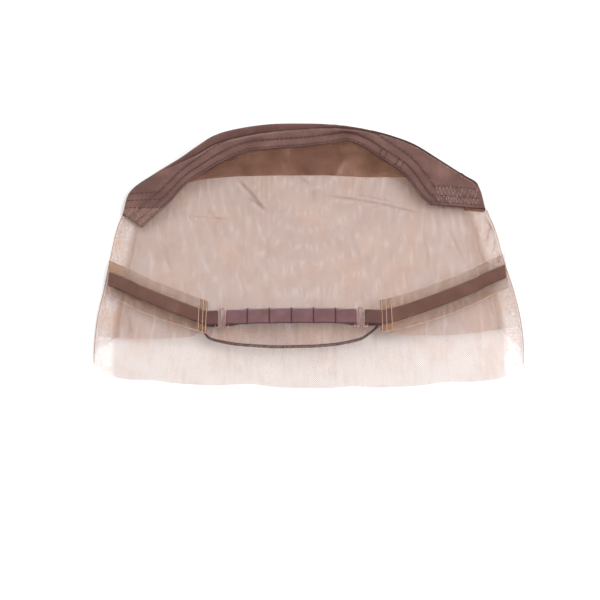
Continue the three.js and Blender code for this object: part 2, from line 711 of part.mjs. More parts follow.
/** Elastic of one side, with a loop at the hook and a flat run inside its casing. */
function elastic(side) {
  const { startX, endX, centreY, bedAt } = elasticRun(side);
  const length = Math.abs(endX - startX);
  const thicknessAt = (s) => {
    const easing = smooth((s - STUB_LOOP) / STUB_EASING);
    return mix(STRAP_LOOP_THICKNESS, ELASTIC_THICKNESS, easing);
  };
  const stations = [0, STUB_LOOP, STUB_LOOP + STUB_EASING / 2, STUB_LOOP + STUB_EASING];
  for (let k = 0; k <= CASING_STEPS; k += 1) stations.push(mix(side.stub, length, k / CASING_STEPS));
  stations[stations.length - 1] -= STRAP_WALL;
  const loops = [[STRAP_WALL, STUB_LOOP - PIECE_GAP]];
  return loopedBand(stations, loops, STRAP_WIDTH, thicknessAt, (s, across, height) => {
    const x = startX + side.hand * s;
    return new THREE.Vector3(x, centreY(x) + across, bedAt(x, across) + STRAP_MIDDLE + height);
  });
}

/** Casing of one elastic: a net sleeve with flat sewn margins above and below its channel. */
function casing(side) {
  const { endX, casingX, centreY, bedAt } = elasticRun(side);
  const half = CASING_WIDTH / 2;
  const channel = STRAP_WIDTH / 2 + 2 * PIECE_GAP;
  const shoulder = channel + NET_THICKNESS;
  const margin = (half - shoulder) / 2 + shoulder;
  const top = CASING_HEIGHT;
  const shape = new THREE.Shape();
  shape.moveTo(-half, 0);
  for (const w of [-margin, -shoulder, 0, shoulder, margin, half]) shape.lineTo(w, 0);
  shape.lineTo(half, CASING_FLANGE);
  shape.lineTo(margin, CASING_FLANGE);
  shape.lineTo(shoulder, top);
  shape.lineTo(0, top);
  shape.lineTo(-shoulder, top);
  shape.lineTo(-margin, CASING_FLANGE);
  shape.lineTo(-half, CASING_FLANGE);
  const hole = new THREE.Path();
  hole.moveTo(-channel, NET_THICKNESS);
  hole.lineTo(0, NET_THICKNESS);
  hole.lineTo(channel, NET_THICKNESS);
  hole.lineTo(channel, NET_THICKNESS + CHANNEL_HEIGHT);
  hole.lineTo(0, NET_THICKNESS + CHANNEL_HEIGHT);
  hole.lineTo(-channel, NET_THICKNESS + CHANNEL_HEIGHT);
  shape.holes.push(hole);
  const geometry = new THREE.ExtrudeGeometry(shape, {
    depth: 1,
    steps: CASING_STEPS,
    bevelEnabled: false,
  });
  return bend(geometry, (point) => {
    const x = mix(casingX, endX, point.z);
    const reach = (point.x > 0 ? casingAbove : casingBelow)(point.z) * CASING_WIDTH;
    const beyond = Math.max(0, Math.abs(point.x) - shoulder) / (half - shoulder);
    const w = Math.sign(point.x) * (Math.min(Math.abs(point.x), shoulder) + beyond * (reach - shoulder));
    const y = centreY(x) + w;
    const base = mix(bedAt(x, w), Math.max(lappedTop(x, y), bedAt(x, w) - NET_THICKNESS), smooth(beyond));
    const lift = STRAP_MIDDLE - CASING_HEIGHT / 2;
    return new THREE.Vector3(x, y, base + lift + point.y);
  });
}

/** Plain cloth or plastic finish. */
function finish(color, roughness) {
  return new THREE.MeshStandardMaterial({ color, roughness, metalness: 0 });
}

const FINISHES = {
  crown: finish(0x70534d, 0.8),
  net: finish(0xdac8bc, 0.9),
  casing: finish(0xb0917e, 0.9),
  elastic: finish(0x6f4c45, 0.85),
  strap: finish(0x8a666a, 0.85),
  hook: finish(0xc9aaa4, 0.4),
};

/** Adds a named mesh to the cap. */
function addPiece(group, name, geometry, material) {
  const mesh = new THREE.Mesh(geometry, material);
  mesh.name = name;
  group.add(mesh);
}

const wigCap = new THREE.Group();
addPiece(wigCap, "crown_panel", crownPanel(), FINISHES.crown);
addPiece(wigCap, "front_lace", frontNet(), FINISHES.net);
addPiece(wigCap, "back_lace", backNet(), FINISHES.net);
addPiece(wigCap, "slotted_strap", slottedStrap(), FINISHES.strap);
for (const side of [LEFT_SIDE, RIGHT_SIDE]) {
  addPiece(wigCap, `casing_${side.name}`, casing(side), FINISHES.casing);
  addPiece(wigCap, `elastic_${side.name}`, elastic(side), FINISHES.elastic);
  addPiece(wigCap, `hook_${side.name}`, hook(side.hand), FINISHES.hook);
}

export default wigCap;
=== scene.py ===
"""Wig cap folded flat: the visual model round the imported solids.

A stretch crown panel is folded over at the top, with its stitched hem band in front. Fine net
hangs from it, front and back. A nape strap crosses the back net: an elastic in a net casing on
each side, two wire hooks and a slotted strap between them. Metres, in the frame of the solids.
"""
import logging
import math
from bisect import bisect_left
from dataclasses import dataclass
from enum import Enum, IntEnum
from typing import Callable, NamedTuple, Sequence

import bmesh
import bpy
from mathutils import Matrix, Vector, noise
from mathutils.bvhtree import BVHTree


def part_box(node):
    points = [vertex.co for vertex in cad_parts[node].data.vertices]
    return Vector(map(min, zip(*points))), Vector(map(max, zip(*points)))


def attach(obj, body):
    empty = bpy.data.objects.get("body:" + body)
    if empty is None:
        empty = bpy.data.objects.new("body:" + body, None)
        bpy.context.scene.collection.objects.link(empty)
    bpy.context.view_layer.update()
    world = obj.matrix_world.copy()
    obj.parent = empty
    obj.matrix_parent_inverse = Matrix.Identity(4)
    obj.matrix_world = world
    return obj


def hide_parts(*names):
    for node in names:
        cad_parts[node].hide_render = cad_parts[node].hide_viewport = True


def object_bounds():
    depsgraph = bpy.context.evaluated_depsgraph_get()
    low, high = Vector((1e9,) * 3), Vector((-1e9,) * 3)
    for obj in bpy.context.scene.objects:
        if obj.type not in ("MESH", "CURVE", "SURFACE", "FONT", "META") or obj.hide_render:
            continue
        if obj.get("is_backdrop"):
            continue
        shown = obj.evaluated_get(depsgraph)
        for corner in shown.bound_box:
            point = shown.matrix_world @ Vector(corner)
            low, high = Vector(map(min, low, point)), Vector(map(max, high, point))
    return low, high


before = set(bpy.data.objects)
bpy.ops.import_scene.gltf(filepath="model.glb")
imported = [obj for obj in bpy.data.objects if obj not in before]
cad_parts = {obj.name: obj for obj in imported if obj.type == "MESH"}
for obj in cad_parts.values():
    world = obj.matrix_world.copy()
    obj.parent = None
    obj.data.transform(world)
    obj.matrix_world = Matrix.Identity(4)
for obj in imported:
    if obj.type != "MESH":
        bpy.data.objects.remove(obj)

LOG = logging.getLogger("wig_cap")
MM = 0.001
BODY = "root"
Place = Callable[[float, float], Vector]
Colour = tuple[float, float, float]


# Numbers and curves


def mix(a: float, b: float, t: float) -> float:
    """Value a share t of the way from a to b."""
    return a + (b - a) * t


def clamp01(t: float) -> float:
    """Number held between 0 and 1."""
    return min(1.0, max(0.0, t))


def smooth(t: float) -> float:
    """Eased step from 0 to 1."""
    t = clamp01(t)
    return t * t * (3 - 2 * t)


def colour_of(red: int, green: int, blue: int) -> Colour:
    """Linear colour of a screen colour with channels from 0 to 255.

    Args:
        red: Red channel, 0 to 255.
        green: Green channel.
        blue: Blue channel.

    Returns:
        Linear red, green and blue.
    """
    def linear(channel: int) -> float:
        """Linear value of one channel."""
        share = channel / 255
        return share / 12.92 if share <= 0.04045 else ((share + 0.055) / 1.055) ** 2.4
    return linear(red), linear(green), linear(blue)


class KnotCurve:
    """Smooth curve through knots, read as a value for a place."""

    def __init__(self, knots: Sequence[tuple[float, float]]) -> None:
        """Keeps the knots.

        Args:
            knots: Pairs of place and value, in rising places.
        """
        self.places = [place for place, _ in knots]
        self.values = [value for _, value in knots]

    def slope(self, i: int) -> float:
        """Slope at a knot, from its neighbours."""
        before, after = max(0, i - 1), min(len(self.places) - 1, i + 1)
        return (self.values[after] - self.values[before]) / (self.places[after] - self.places[before])

    def __call__(self, place: float) -> float:
        """Value at a place, held at both ends.

        Args:
            place: Place to read at.

        Returns:
            Value there.
        """
        i = min(max(bisect_left(self.places, place) - 1, 0), len(self.places) - 2)
        span = self.places[i + 1] - self.places[i]
        t = clamp01((place - self.places[i]) / span)
        rise = self.values[i + 1] - self.values[i]
        first, last = self.slope(i) * span, self.slope(i + 1) * span
        cubic = first + last - 2 * rise
        square = 3 * rise - 2 * first - last
        return self.values[i] + t * (first + t * (square + t * cubic))


class RibSpline:
    """Centripetal curve through a few points, as a cloth bends over them."""

    least = 1e-6
    plain = MM ** 0.5

    def __init__(self, points: Sequence[Vector]) -> None:
        """Keeps the points, with one more beyond each end.

        Args:
            points: Points to pass through.
        """
        first = 2 * points[0] - points[1]
        last = 2 * points[-1] - points[-2]
        self.points = [first, *points, last]
        self.spans = len(points) - 1

    def at(self, t: float) -> Vector:
        """Point at a share t of the curve.

        Args:
            t: Share of the way, from 0 to 1.

        Returns:
            Point there.
        """
        step = min(int(t * self.spans), self.spans - 1)
        local = t * self.spans - step
        p0, p1, p2, p3 = self.points[step:step + 4]
        gaps = [(b - a).length ** 0.5 for a, b in ((p0, p1), (p1, p2), (p2, p3))]
        d1 = gaps[1] if gaps[1] > self.least else self.plain
        d0, d2 = (gap if gap > self.least else d1 for gap in (gaps[0], gaps[2]))
        m1 = ((p1 - p0) / d0 - (p2 - p0) / (d0 + d1) + (p2 - p1) / d1) * d1
        m2 = ((p2 - p1) / d1 - (p3 - p1) / (d1 + d2) + (p3 - p2) / d2) * d1
        square = 3 * (p2 - p1) - 2 * m1 - m2
        cubic = 2 * (p1 - p2) + m1 + m2
        return p1 + local * (m1 + local * (square + local * cubic))


# Tables of the shape


class OutlineRow(NamedTuple):
    """Side outline: place along, and both sides as shares of the half width."""

    along: float
    left: float
    right: float


class Rib(NamedTuple):
    """One rib of the crown panel, as shares of the half width, half depth and crown height."""

    fold_x: float
    fold_y: float
    rise: float
    hem_x: float
    hem_y: float
    seam_x: float
    seam_y: float
    split: float


class TabRow(NamedTuple):
    """Stitch row over an end tab of the band: its places along, at its inner and outer end."""

    inner: float
    outer: float


class Mark(NamedTuple):
    """Soft line of a crease, of painted shade or of a painted highlight: both ends as shares, half width and
    strength.
    """

    x1: float
    y1: float
    x2: float
    y2: float
    reach: float
    strength: float

    def at(self, x: float, y: float) -> float:
        """Strength of the line at a place, given as shares like its ends.

        Args:
            x: Place across.
            y: Place along.

        Returns:
            Strength, 0 away from the line.
        """
        run = Vector((self.x2 - self.x1, self.y2 - self.y1))
        offset = Vector((x - self.x1, y - self.y1))
        along = clamp01(offset.dot(run) / run.length_squared)
        off = (offset - run * along).length
        return self.strength * smooth(2 - abs(4 * along - 2)) * math.exp(-((off / self.reach) ** 2))


class RibPoint(IntEnum):
    """Points of a crown rib that others refer to, in their order along it."""

    HEM = 0
    NEAR_RIDGE = 2
    VALLEY = 3
    FAR_RIDGE = 4
    FOLD = 5
    GROUND = 6
    SEAM = 7


class Crease(NamedTuple):
    """One crease of the back net: both ends as shares, and its rise."""

    x1: float
    y1: float
    x2: float
    y2: float
    rise: float


class Wave(NamedTuple):
    """Soft wave along the hem of the front net: place and reach as shares, and lift in millimetres."""

    across: float
    reach: float
    lift: float


class CasingRow(NamedTuple):
    """Casing at a share of its length: its reach above and below the elastic, as shares of its width."""

    along: float
    above: float
    below: float


class Lamp(NamedTuple):
    """Soft square light: its name, place, length of side and power in watts."""

    name: str
    place: tuple[float, float, float]
    size: float
    power: float


SIDE_OUTLINE = (
    OutlineRow(-1.0, 0.985, 0.98),
    OutlineRow(-0.85, 0.994, 0.99),
    OutlineRow(-0.65, 1.0, 1.0),
    OutlineRow(-0.47, 0.997, 0.996),
    OutlineRow(-0.27, 0.98, 0.979),
    OutlineRow(-0.02, 0.963, 0.945),
    OutlineRow(0.23, 0.943, 0.918),
    OutlineRow(0.4, 0.913, 0.886),
    OutlineRow(0.6, 0.88, 0.86),
)
FRONT_HEM = (
    (-1.0, -0.85), (-0.95, -0.89), (-0.88, -0.93), (-0.6, -0.968), (-0.2, -0.992),
    (0.1, -1.0), (0.5, -0.985), (0.86, -0.94), (0.95, -0.905), (1.0, -0.87),
)
NAPE_EDGE = (
    (-1.0, -0.62), (-0.88, -0.65), (-0.7, -0.672), (-0.545, -0.668), (-0.505, -0.63),
    (-0.465, -0.695), (-0.38, -0.736), (-0.24, -0.766), (-0.09, -0.775), (0.09, -0.763),
    (0.235, -0.715), (0.295, -0.65), (0.325, -0.61), (0.365, -0.655), (0.5, -0.66),
    (0.7, -0.64), (0.88, -0.585), (1.0, -0.55),
)
CROWN_RIBS = (
    Rib(-0.916, 0.356, 0.19, -0.813, 0.223, -0.822, 0.385, 0.0),
    Rib(-0.886, 0.545, 0.22, -0.756, 0.31, -0.745, 0.53, 0.0),
    Rib(-0.772, 0.675, 0.34, -0.677, 0.435, -0.68, 0.6, 0.1),
    Rib(-0.645, 0.785, 0.5, -0.603, 0.569, -0.61, 0.65, 0.5),
    Rib(-0.56, 0.862, 0.66, -0.52, 0.655, -0.53, 0.68, 0.9),
    Rib(-0.475, 0.932, 0.8, -0.43, 0.735, -0.45, 0.697, 1.0),
    Rib(-0.36, 0.968, 0.92, -0.31, 0.806, -0.33, 0.71, 1.0),
    Rib(-0.19, 0.995, 1.0, -0.185, 0.821, -0.18, 0.716, 0.9),
    Rib(0.0, 1.0, 1.0, -0.02, 0.836, 0.0, 0.718, 0.6),
    Rib(0.11, 0.995, 0.99, 0.12, 0.868, 0.1, 0.718, 0.45),
    Rib(0.2, 0.985, 0.97, 0.195, 0.893, 0.2, 0.71, 0.4),
    Rib(0.3, 0.96, 0.94, 0.277, 0.846, 0.31, 0.7, 0.3),
    Rib(0.42, 0.915, 0.88, 0.36, 0.757, 0.4, 0.702, 0.25),
    Rib(0.54, 0.86, 0.74, 0.455, 0.662, 0.49, 0.7, 0.2),
    Rib(0.663, 0.757, 0.56, 0.504, 0.568, 0.58, 0.66, 0.1),
    Rib(0.79, 0.645, 0.36, 0.55, 0.46, 0.68, 0.585, 0.0),
    Rib(0.85, 0.585, 0.25, 0.575, 0.42, 0.74, 0.51, 0.0),
    Rib(0.875, 0.395, 0.2, 0.598, 0.388, 0.775, 0.41, 0.0),
)
NET_CREASES = (
    Crease(-0.34, 0.62, -0.2, 0.27, 1.0),
    Crease(0.08, 0.42, 0.57, 0.31, 0.9),
    Crease(-0.62, 0.3, -0.45, 0.24, 0.6),
    Crease(-0.08, 0.66, 0.03, 0.5, 0.6),
    Crease(0.66, 0.2, 0.74, -0.06, 0.7),
)
LEFT_TAB_ROWS = (TabRow(0.361, 0.393), TabRow(0.438, 0.456), TabRow(0.503, 0.515))
RIGHT_TAB_ROWS = (TabRow(0.408, 0.415), TabRow(0.467, 0.472), TabRow(0.545, 0.55))
# Painted shade of the pleats in the far panel.
PLEATS = (
    Mark(-0.33, 0.83, -0.3, 0.68, 0.026, 0.8), Mark(-0.24, 0.84, -0.2, 0.67, 0.022, 0.6),
    Mark(-0.04, 0.82, 0.02, 0.68, 0.03, 0.75), Mark(0.1, 0.84, 0.13, 0.69, 0.022, 0.6),
    Mark(0.27, 0.84, 0.36, 0.7, 0.05, 0.9), Mark(0.4, 0.8, 0.42, 0.7, 0.02, 0.5),
)
# Painted highlights along light creases of the far panel.
CREASE_HIGHLIGHTS = (Mark(0.2, 0.86, 0.14, 0.69, 0.016, 0.6), Mark(-0.13, 0.84, -0.1, 0.7, 0.014, 0.3))
NET_LINES = (
    Mark(-0.36, 0.6, -0.19, 0.26, 0.007, 1.2), Mark(-0.3, 0.42, -0.21, 0.3, 0.006, 0.8),
    Mark(0.06, 0.425, 0.6, 0.3, 0.008, 0.7), Mark(0.2, 0.44, 0.44, 0.39, 0.006, 0.4),
    Mark(-0.6, 0.29, -0.36, 0.24, 0.007, 0.5), Mark(-0.5, 0.34, -0.42, 0.22, 0.006, 0.45),
    Mark(-0.1, 0.66, 0.02, 0.48, 0.007, 0.5), Mark(0.02, 0.5, 0.03, 0.34, 0.006, 0.3),
    Mark(0.68, 0.24, 0.74, -0.06, 0.006, 0.5), Mark(0.55, 0.2, 0.58, -0.1, 0.006, 0.35),
    Mark(0.86, 0.36, 0.93, 0.14, 0.006, 0.9), Mark(0.9, 0.3, 0.86, 0.1, 0.005, 0.8),
    Mark(0.92, 0.22, 0.89, 0.02, 0.005, 0.7), Mark(0.94, 0.12, 0.91, -0.06, 0.005, 0.6),
    Mark(-0.2, 0.1, -0.19, -0.1, 0.006, 0.25), Mark(0.2, 0.16, 0.24, -0.1, 0.006, 0.25),
    Mark(-0.7, 0.1, -0.66, -0.14, 0.006, 0.35), Mark(-0.86, -0.4, -0.82, -0.64, 0.008, 0.5),
)
HEM_WAVES = (Wave(-0.72, 0.13, 2.2), Wave(-0.28, 0.16, 3.0), Wave(0.2, 0.12, 1.8), Wave(0.62, 0.15, 2.6))
CASING_ROWS = (CasingRow(0, 0.5, 0.36), CasingRow(0.5, 0.48, 0.47), CasingRow(1, 0.52, 0.47))
LAMPS = (Lamp("key", (0.75, -0.6, 1.1), 0.9, 15), Lamp("fill", (-0.9, 0.3, 1.3), 1.2, 7))
LOOK_AT = (-6.1 * MM, -36 * MM, 0)


@dataclass(frozen=True)
class CapShape:
    """Outline and heights of the folded cap, worked out from the frame's own box."""

    half_width: float
    half_depth: float
    crown_height: float
    net_wall: float = 1.0 * MM
    crown_wall: float = 1.2 * MM
    gap: float = 0.3 * MM
    seam_gap: float = -0.8 * MM
    mouth_rise: float = 10 * MM
    crown_rise: float = 14.5 * MM
    flap_width: float = 17 * MM
    lap_ramp: float = 5 * MM
    lap_margin: float = 3.5 * MM
    hem_tuck: float = 5 * MM
    wave_reach: float = 26 * MM
    ridge_spacing: float = 7 * MM
    ridge_valley: float = 5 * MM
    crease_height: float = 1.4 * MM
    crease_reach: float = 3.2 * MM
    arch_start: float = -0.7
    arch_end: float = 0.8
    fold_roundness: float = 0.32
    fold_bulge: float = 0.45
    ridge_set_in: float = 0.3
    near_ridge_drop: float = 0.45
    band_slope: float = 0.3

    def __post_init__(self) -> None:
        """Prepares the curves through the tables."""
        curves = {
            "left": KnotCurve([(row.along, row.left) for row in SIDE_OUTLINE]),
            "right": KnotCurve([(row.along, row.right) for row in SIDE_OUTLINE]),
            "hem": KnotCurve(FRONT_HEM),
            "nape": KnotCurve(NAPE_EDGE),
        }
        for name in Rib._fields:
            curves[name] = KnotCurve([(i, getattr(rib, name)) for i, rib in enumerate(CROWN_RIBS)])
        object.__setattr__(self, "curves", curves)

    @classmethod
    def from_frame(cls) -> "CapShape":
        """Shape with the width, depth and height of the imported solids.

        Returns:
            The shape.
        """
        low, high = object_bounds()
        net_low, net_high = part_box("front_lace")
        return cls((net_high.x - net_low.x) / 2, -net_low.y, high.z - low.z)

    @property
    def edge_top(self) -> float:
        """Height of the back net's top where it meets the side folds."""
        return 2 * self.net_wall + self.gap

    @property
    def fold_radius(self) -> float:
        """Radius of the side folds, at the middle of the net."""
        return self.net_wall + self.gap

    @property
    def edge_inset(self) -> float:
        """Distance of the back net's edge from the folded side."""
        return self.net_wall + 4 * self.gap

    def side_at(self, hand: float, y: float) -> float:
        """Distance of the folded side from the middle."""
        return self.half_width * self.curves["left" if hand < 0 else "right"](y / self.half_depth)

    def front_hem_at(self, share: float) -> float:
        """Place along of the front net's hem, for a share across."""
        return self.curves["hem"](share) * self.half_depth

    def nape_at(self, share: float) -> float:
        """Place along of the back net's lower edge, for a share across."""
        return self.curves["nape"](share) * self.half_depth

    def crease_at(self, x: float, y: float) -> float:
        """Height share of the creases of the back net at a place.

        Args:
            x: Place across.
            y: Place along.

        Returns:
            Share of the full height.
        """
        total = 0.0
        for crease in NET_CREASES:
            start = Vector((crease.x1 * self.half_width, crease.y1 * self.half_depth))
            run = Vector((crease.x2 * self.half_width, crease.y2 * self.half_depth)) - start
            offset = Vector((x, y)) - start
            along = clamp01(offset.dot(run) / run.length_squared)
            off = (offset - run * along).length
            fade = smooth(1 - abs(2 * along - 1))
            total += crease.rise * fade * math.exp(-((off / self.crease_reach) ** 2))
        return total

    def back_top(self, x: float, y: float) -> float:
        """Height of the back net's top: a low arch between the folded sides.

        Args:
            x: Place across.
            y: Place along.

        Returns:
            Height in metres.
        """
        share = min(1.0, abs(x) / self.side_at(x, y))
        along = (y / self.half_depth - self.arch_start) / (self.arch_end - self.arch_start)
        rise = mix(self.mouth_rise, self.crown_rise, smooth(along))
        arch = rise * math.cos(share * math.pi / 2)
        return self.edge_top + arch + self.crease_height * self.crease_at(x, y)

    def lapped_top(self, x: float, y: float) -> float:
        """Height of the outermost net, where the front net laps over the back net.

        Args:
            x: Place across.
            y: Place along.

        Returns:
            Height in metres.
        """
        inward = self.side_at(x, y) - abs(x)
        lap = smooth((self.flap_width + self.lap_ramp + self.lap_margin - inward) / self.lap_ramp)
        return self.back_top(x, y) + lap * (self.net_wall + self.gap)

    def hem_lift(self, x: float, y: float, hem_y: float) -> float:
        """Lift of the front net along its hem.

        Args:
            x: Place across.
            y: Place along.
            hem_y: Place along of the hem there.

        Returns:
            Lift in metres.
        """
        nearness = smooth(1 - (y - hem_y) / self.wave_reach)
        lift = sum(
            wave.lift * MM * smooth(1 - abs((x / self.half_width - wave.across) / wave.reach))
            for wave in HEM_WAVES
        )
        return nearness * lift

    def rib_at(self, step: float) -> list[Vector]:
        """Points of one crown rib, from the near hem, over the fold, to the far seam.

        Args:
            step: Rib number, which may lie between two ribs.

        Returns:
            Its eight points.
        """
        rib = Rib(*(self.curves[name](step) for name in Rib._fields))
        half = self.crown_wall / 2
        fold = Vector((rib.fold_x * self.half_width, rib.fold_y * self.half_depth))
        hem = Vector((rib.hem_x * self.half_width, rib.hem_y * self.half_depth))
        seam = Vector((rib.seam_x * self.half_width, rib.seam_y * self.half_depth))
        to_hem, to_seam = (hem - fold).normalized(), (seam - fold).normalized()
        ridge = rib.rise * self.crown_height - half
        roundness = rib.rise * self.crown_height * self.fold_roundness
        edge = fold + to_hem * half

        def at(base: Vector, direction: Vector, distance: float, z: float) -> Vector:
            """Point at a distance from a base in plan, at a height."""
            spot = base + direction * distance
            return Vector((spot.x, spot.y, z))

        first_top = roundness * self.ridge_set_in
        spacing = rib.split * self.ridge_spacing
        valley = rib.split * self.ridge_valley
        hem_z = self.back_top(hem.x, hem.y) + self.gap + half
        near = at(edge, to_hem, first_top + spacing, ridge - valley * self.near_ridge_drop)
        near_hem = at(hem, to_hem, -self.hem_tuck, 0)
        bed = self.back_top(near_hem.x, near_hem.y) + self.gap + half
        near_hem.z = max(bed, mix(hem_z, near.z, self.band_slope))
        return [
            Vector((hem.x, hem.y, hem_z)),
            near_hem,
            near,
            at(edge, to_hem, first_top + spacing / 2, ridge - valley),
            at(edge, to_hem, first_top, ridge),
            at(edge, to_hem, 0, mix(half, ridge, self.fold_bulge)),
            at(edge, to_seam, roundness, half),
            Vector((seam.x, seam.y, half)),
        ]


class EdgeLine:
    """Edge of the crown panel, read as a place along for a place across."""

    def __init__(self, points: Sequence[Vector]) -> None:
        """Keeps the points of the edge from left to right."""
        self.points = list(points)
        self.places = [point.x for point in points]

    def __call__(self, x: float) -> float:
        """Place along at a place across.

        Args:
            x: Place across.

        Returns:
            Place along.
        """
        i = min(max(bisect_left(self.places, x) - 1, 0), len(self.points) - 2)
        first, second = self.points[i], self.points[i + 1]
        share = clamp01((x - first.x) / (second.x - first.x))
        return mix(first.y, second.y, share)


# Shaders and finishes


class Socket:
    """Output of a shader node, which adds Math nodes for the operators used on it."""

    def __init__(self, surface: "Surface", link: bpy.types.NodeSocket) -> None:
        """Keeps the surface that the node is in, and the node's output."""
        self.surface = surface
        self.link = link

    def math(self, operation: str, *others: "Socket | float", first: float | None = None) -> "Socket":
        """Result of a Math node on this value and others.

        Args:
            operation: Operation of the node.
            others: Values after this one.
            first: Value before this one, if any.

        Returns:
            The node's output.
        """
        values = [self, *others] if first is None else [first, self, *others]
        node = self.surface.node("ShaderNodeMath", {"operation": operation}, dict(enumerate(values)))
        return Socket(self.surface, node.outputs[0])

    def __add__(self, other: "Socket | float") -> "Socket":
        """Sum."""
        return self.math("ADD", other)

    __radd__ = __add__

    def __sub__(self, other: "Socket | float") -> "Socket":
        """Difference."""
        return self.math("SUBTRACT", other)

    def __rsub__(self, other: float) -> "Socket":
        """Difference from a number."""
        return self.math("SUBTRACT", first=other)

    def __mul__(self, other: "Socket | float") -> "Socket":
        """Product."""
        return self.math("MULTIPLY", other)

    __rmul__ = __mul__

    def __truediv__(self, other: "Socket | float") -> "Socket":
        """Quotient."""
        return self.math("DIVIDE", other)

    def sine(self) -> "Socket":
        """Sine."""
        return self.math("SINE")

    def cosine(self) -> "Socket":
        """Cosine."""
        return self.math("COSINE")

    def size(self) -> "Socket":
        """Absolute value."""
        return self.math("ABSOLUTE")

    def step(self, low: float, high: float) -> "Socket":
        """Eased step from 0 at low to 1 at high.

        Args:
            low: Value that gives 0.
            high: Value that gives 1.

        Returns:
            The node's output.
        """
        settings = {"interpolation_type": "SMOOTHSTEP"}
        inputs = {"Value": self, "From Min": low, "From Max": high}
        return Socket(self.surface, self.surface.node("ShaderNodeMapRange", settings, inputs).outputs[0])


class Surface:
    """Material under construction: a Principled shader and the nodes that feed it."""

    def __init__(self, name: str) -> None:
        """Starts a material with a bare shader.

        Args:
            name: Its name.
        """
        self.material = bpy.data.materials.new(name)
        self.material.use_nodes = True
        self.tree = self.material.node_tree
        self.tree.nodes.clear()
        self.shader = self.node("ShaderNodeBsdfPrincipled")
        self.node("ShaderNodeOutputMaterial", inputs={"Surface": self.shader.outputs["BSDF"]})

    def node(self, kind: str, settings: dict | None = None, inputs: dict | None = None) -> bpy.types.Node:
        """Adds a node.

        Args:
            kind: Type of the node.
            settings: Properties of the node, set first.
            inputs: Values or links of its sockets, by name or number.

        Returns:
            The node.
        """
        node = self.tree.nodes.new(kind)
        for name, value in (settings or {}).items():
            setattr(node, name, value)
        self.feed(node, inputs or {})
        return node

    def feed(self, node: bpy.types.Node, inputs: dict) -> None:
        """Sets or links the sockets of a node.

        Args:
            node: Node to feed.
            inputs: Values or links, by name or number of the socket.
        """
        for name, value in inputs.items():
            if isinstance(value, Socket):
                value = value.link
            if isinstance(value, bpy.types.NodeSocket):
                self.tree.links.new(value, node.inputs[name])
            else:
                node.inputs[name].default_value = value

    def dress(self, **inputs: object) -> None:
        """Feeds the shader, with underscores for the spaces in its sockets' names."""
        self.feed(self.shader, {name.replace("_", " "): value for name, value in inputs.items()})

    def place(self, output: str = "Object") -> tuple[Socket, Socket, Socket]:
        """Coordinates on the piece, as three values.

        Args:
            output: Kind of coordinates.

        Returns:
            Values across, along and up.
        """
        source = self.node("ShaderNodeTexCoord").outputs[output]
        parts = self.node("ShaderNodeSeparateXYZ", inputs={"Vector": source}).outputs
        return tuple(Socket(self, part) for part in parts)

    def attribute(self, name: str) -> Socket:
        """Value that the piece's mesh holds at each of its points."""
        return Socket(self, self.node("ShaderNodeAttribute", {"attribute_name": name}).outputs["Fac"])

    def cloud(self, spacing: float, detail: float = 2, stretch: Vector | None = None) -> Socket:
        """Soft noise of about 0 to 1 over the piece, with the given spacing in metres.

        Args:
            spacing: Size of the noise in metres.
            detail: Number of finer layers.
            stretch: Scale of the coordinates on each axis.

        Returns:
            The noise.
        """
        source = self.node("ShaderNodeTexCoord").outputs["Object"]
        if stretch:
            source = self.node("ShaderNodeMapping", inputs={"Vector": source, "Scale": stretch}).outputs[0]
        inputs = {"Vector": source, "Scale": 1 / spacing, "Detail": detail}
        return Socket(self, self.node("ShaderNodeTexNoise", inputs=inputs).outputs["Fac"])

    def blend(self, factor: "Socket | float", first: object, second: object) -> bpy.types.NodeSocket:
        """Colour between two others.

        Args:
            factor: Share of the second one.
            first: First one.
            second: Second one.

        Returns:
            Colour output of the node.
        """
        pair = [(*colour, 1) if isinstance(colour, tuple) else colour for colour in (first, second)]
        inputs = {0: factor, 6: pair[0], 7: pair[1]}
        return self.node("ShaderNodeMix", {"data_type": "RGBA"}, inputs).outputs[2]

    def bump(self, height: Socket, distance: float, strength: float = 1.0) -> bpy.types.NodeSocket:
        """Normal of a surface with a relief of that height."""
        inputs = {"Height": height, "Distance": distance, "Strength": strength}
        return self.node("ShaderNodeBump", inputs=inputs).outputs["Normal"]


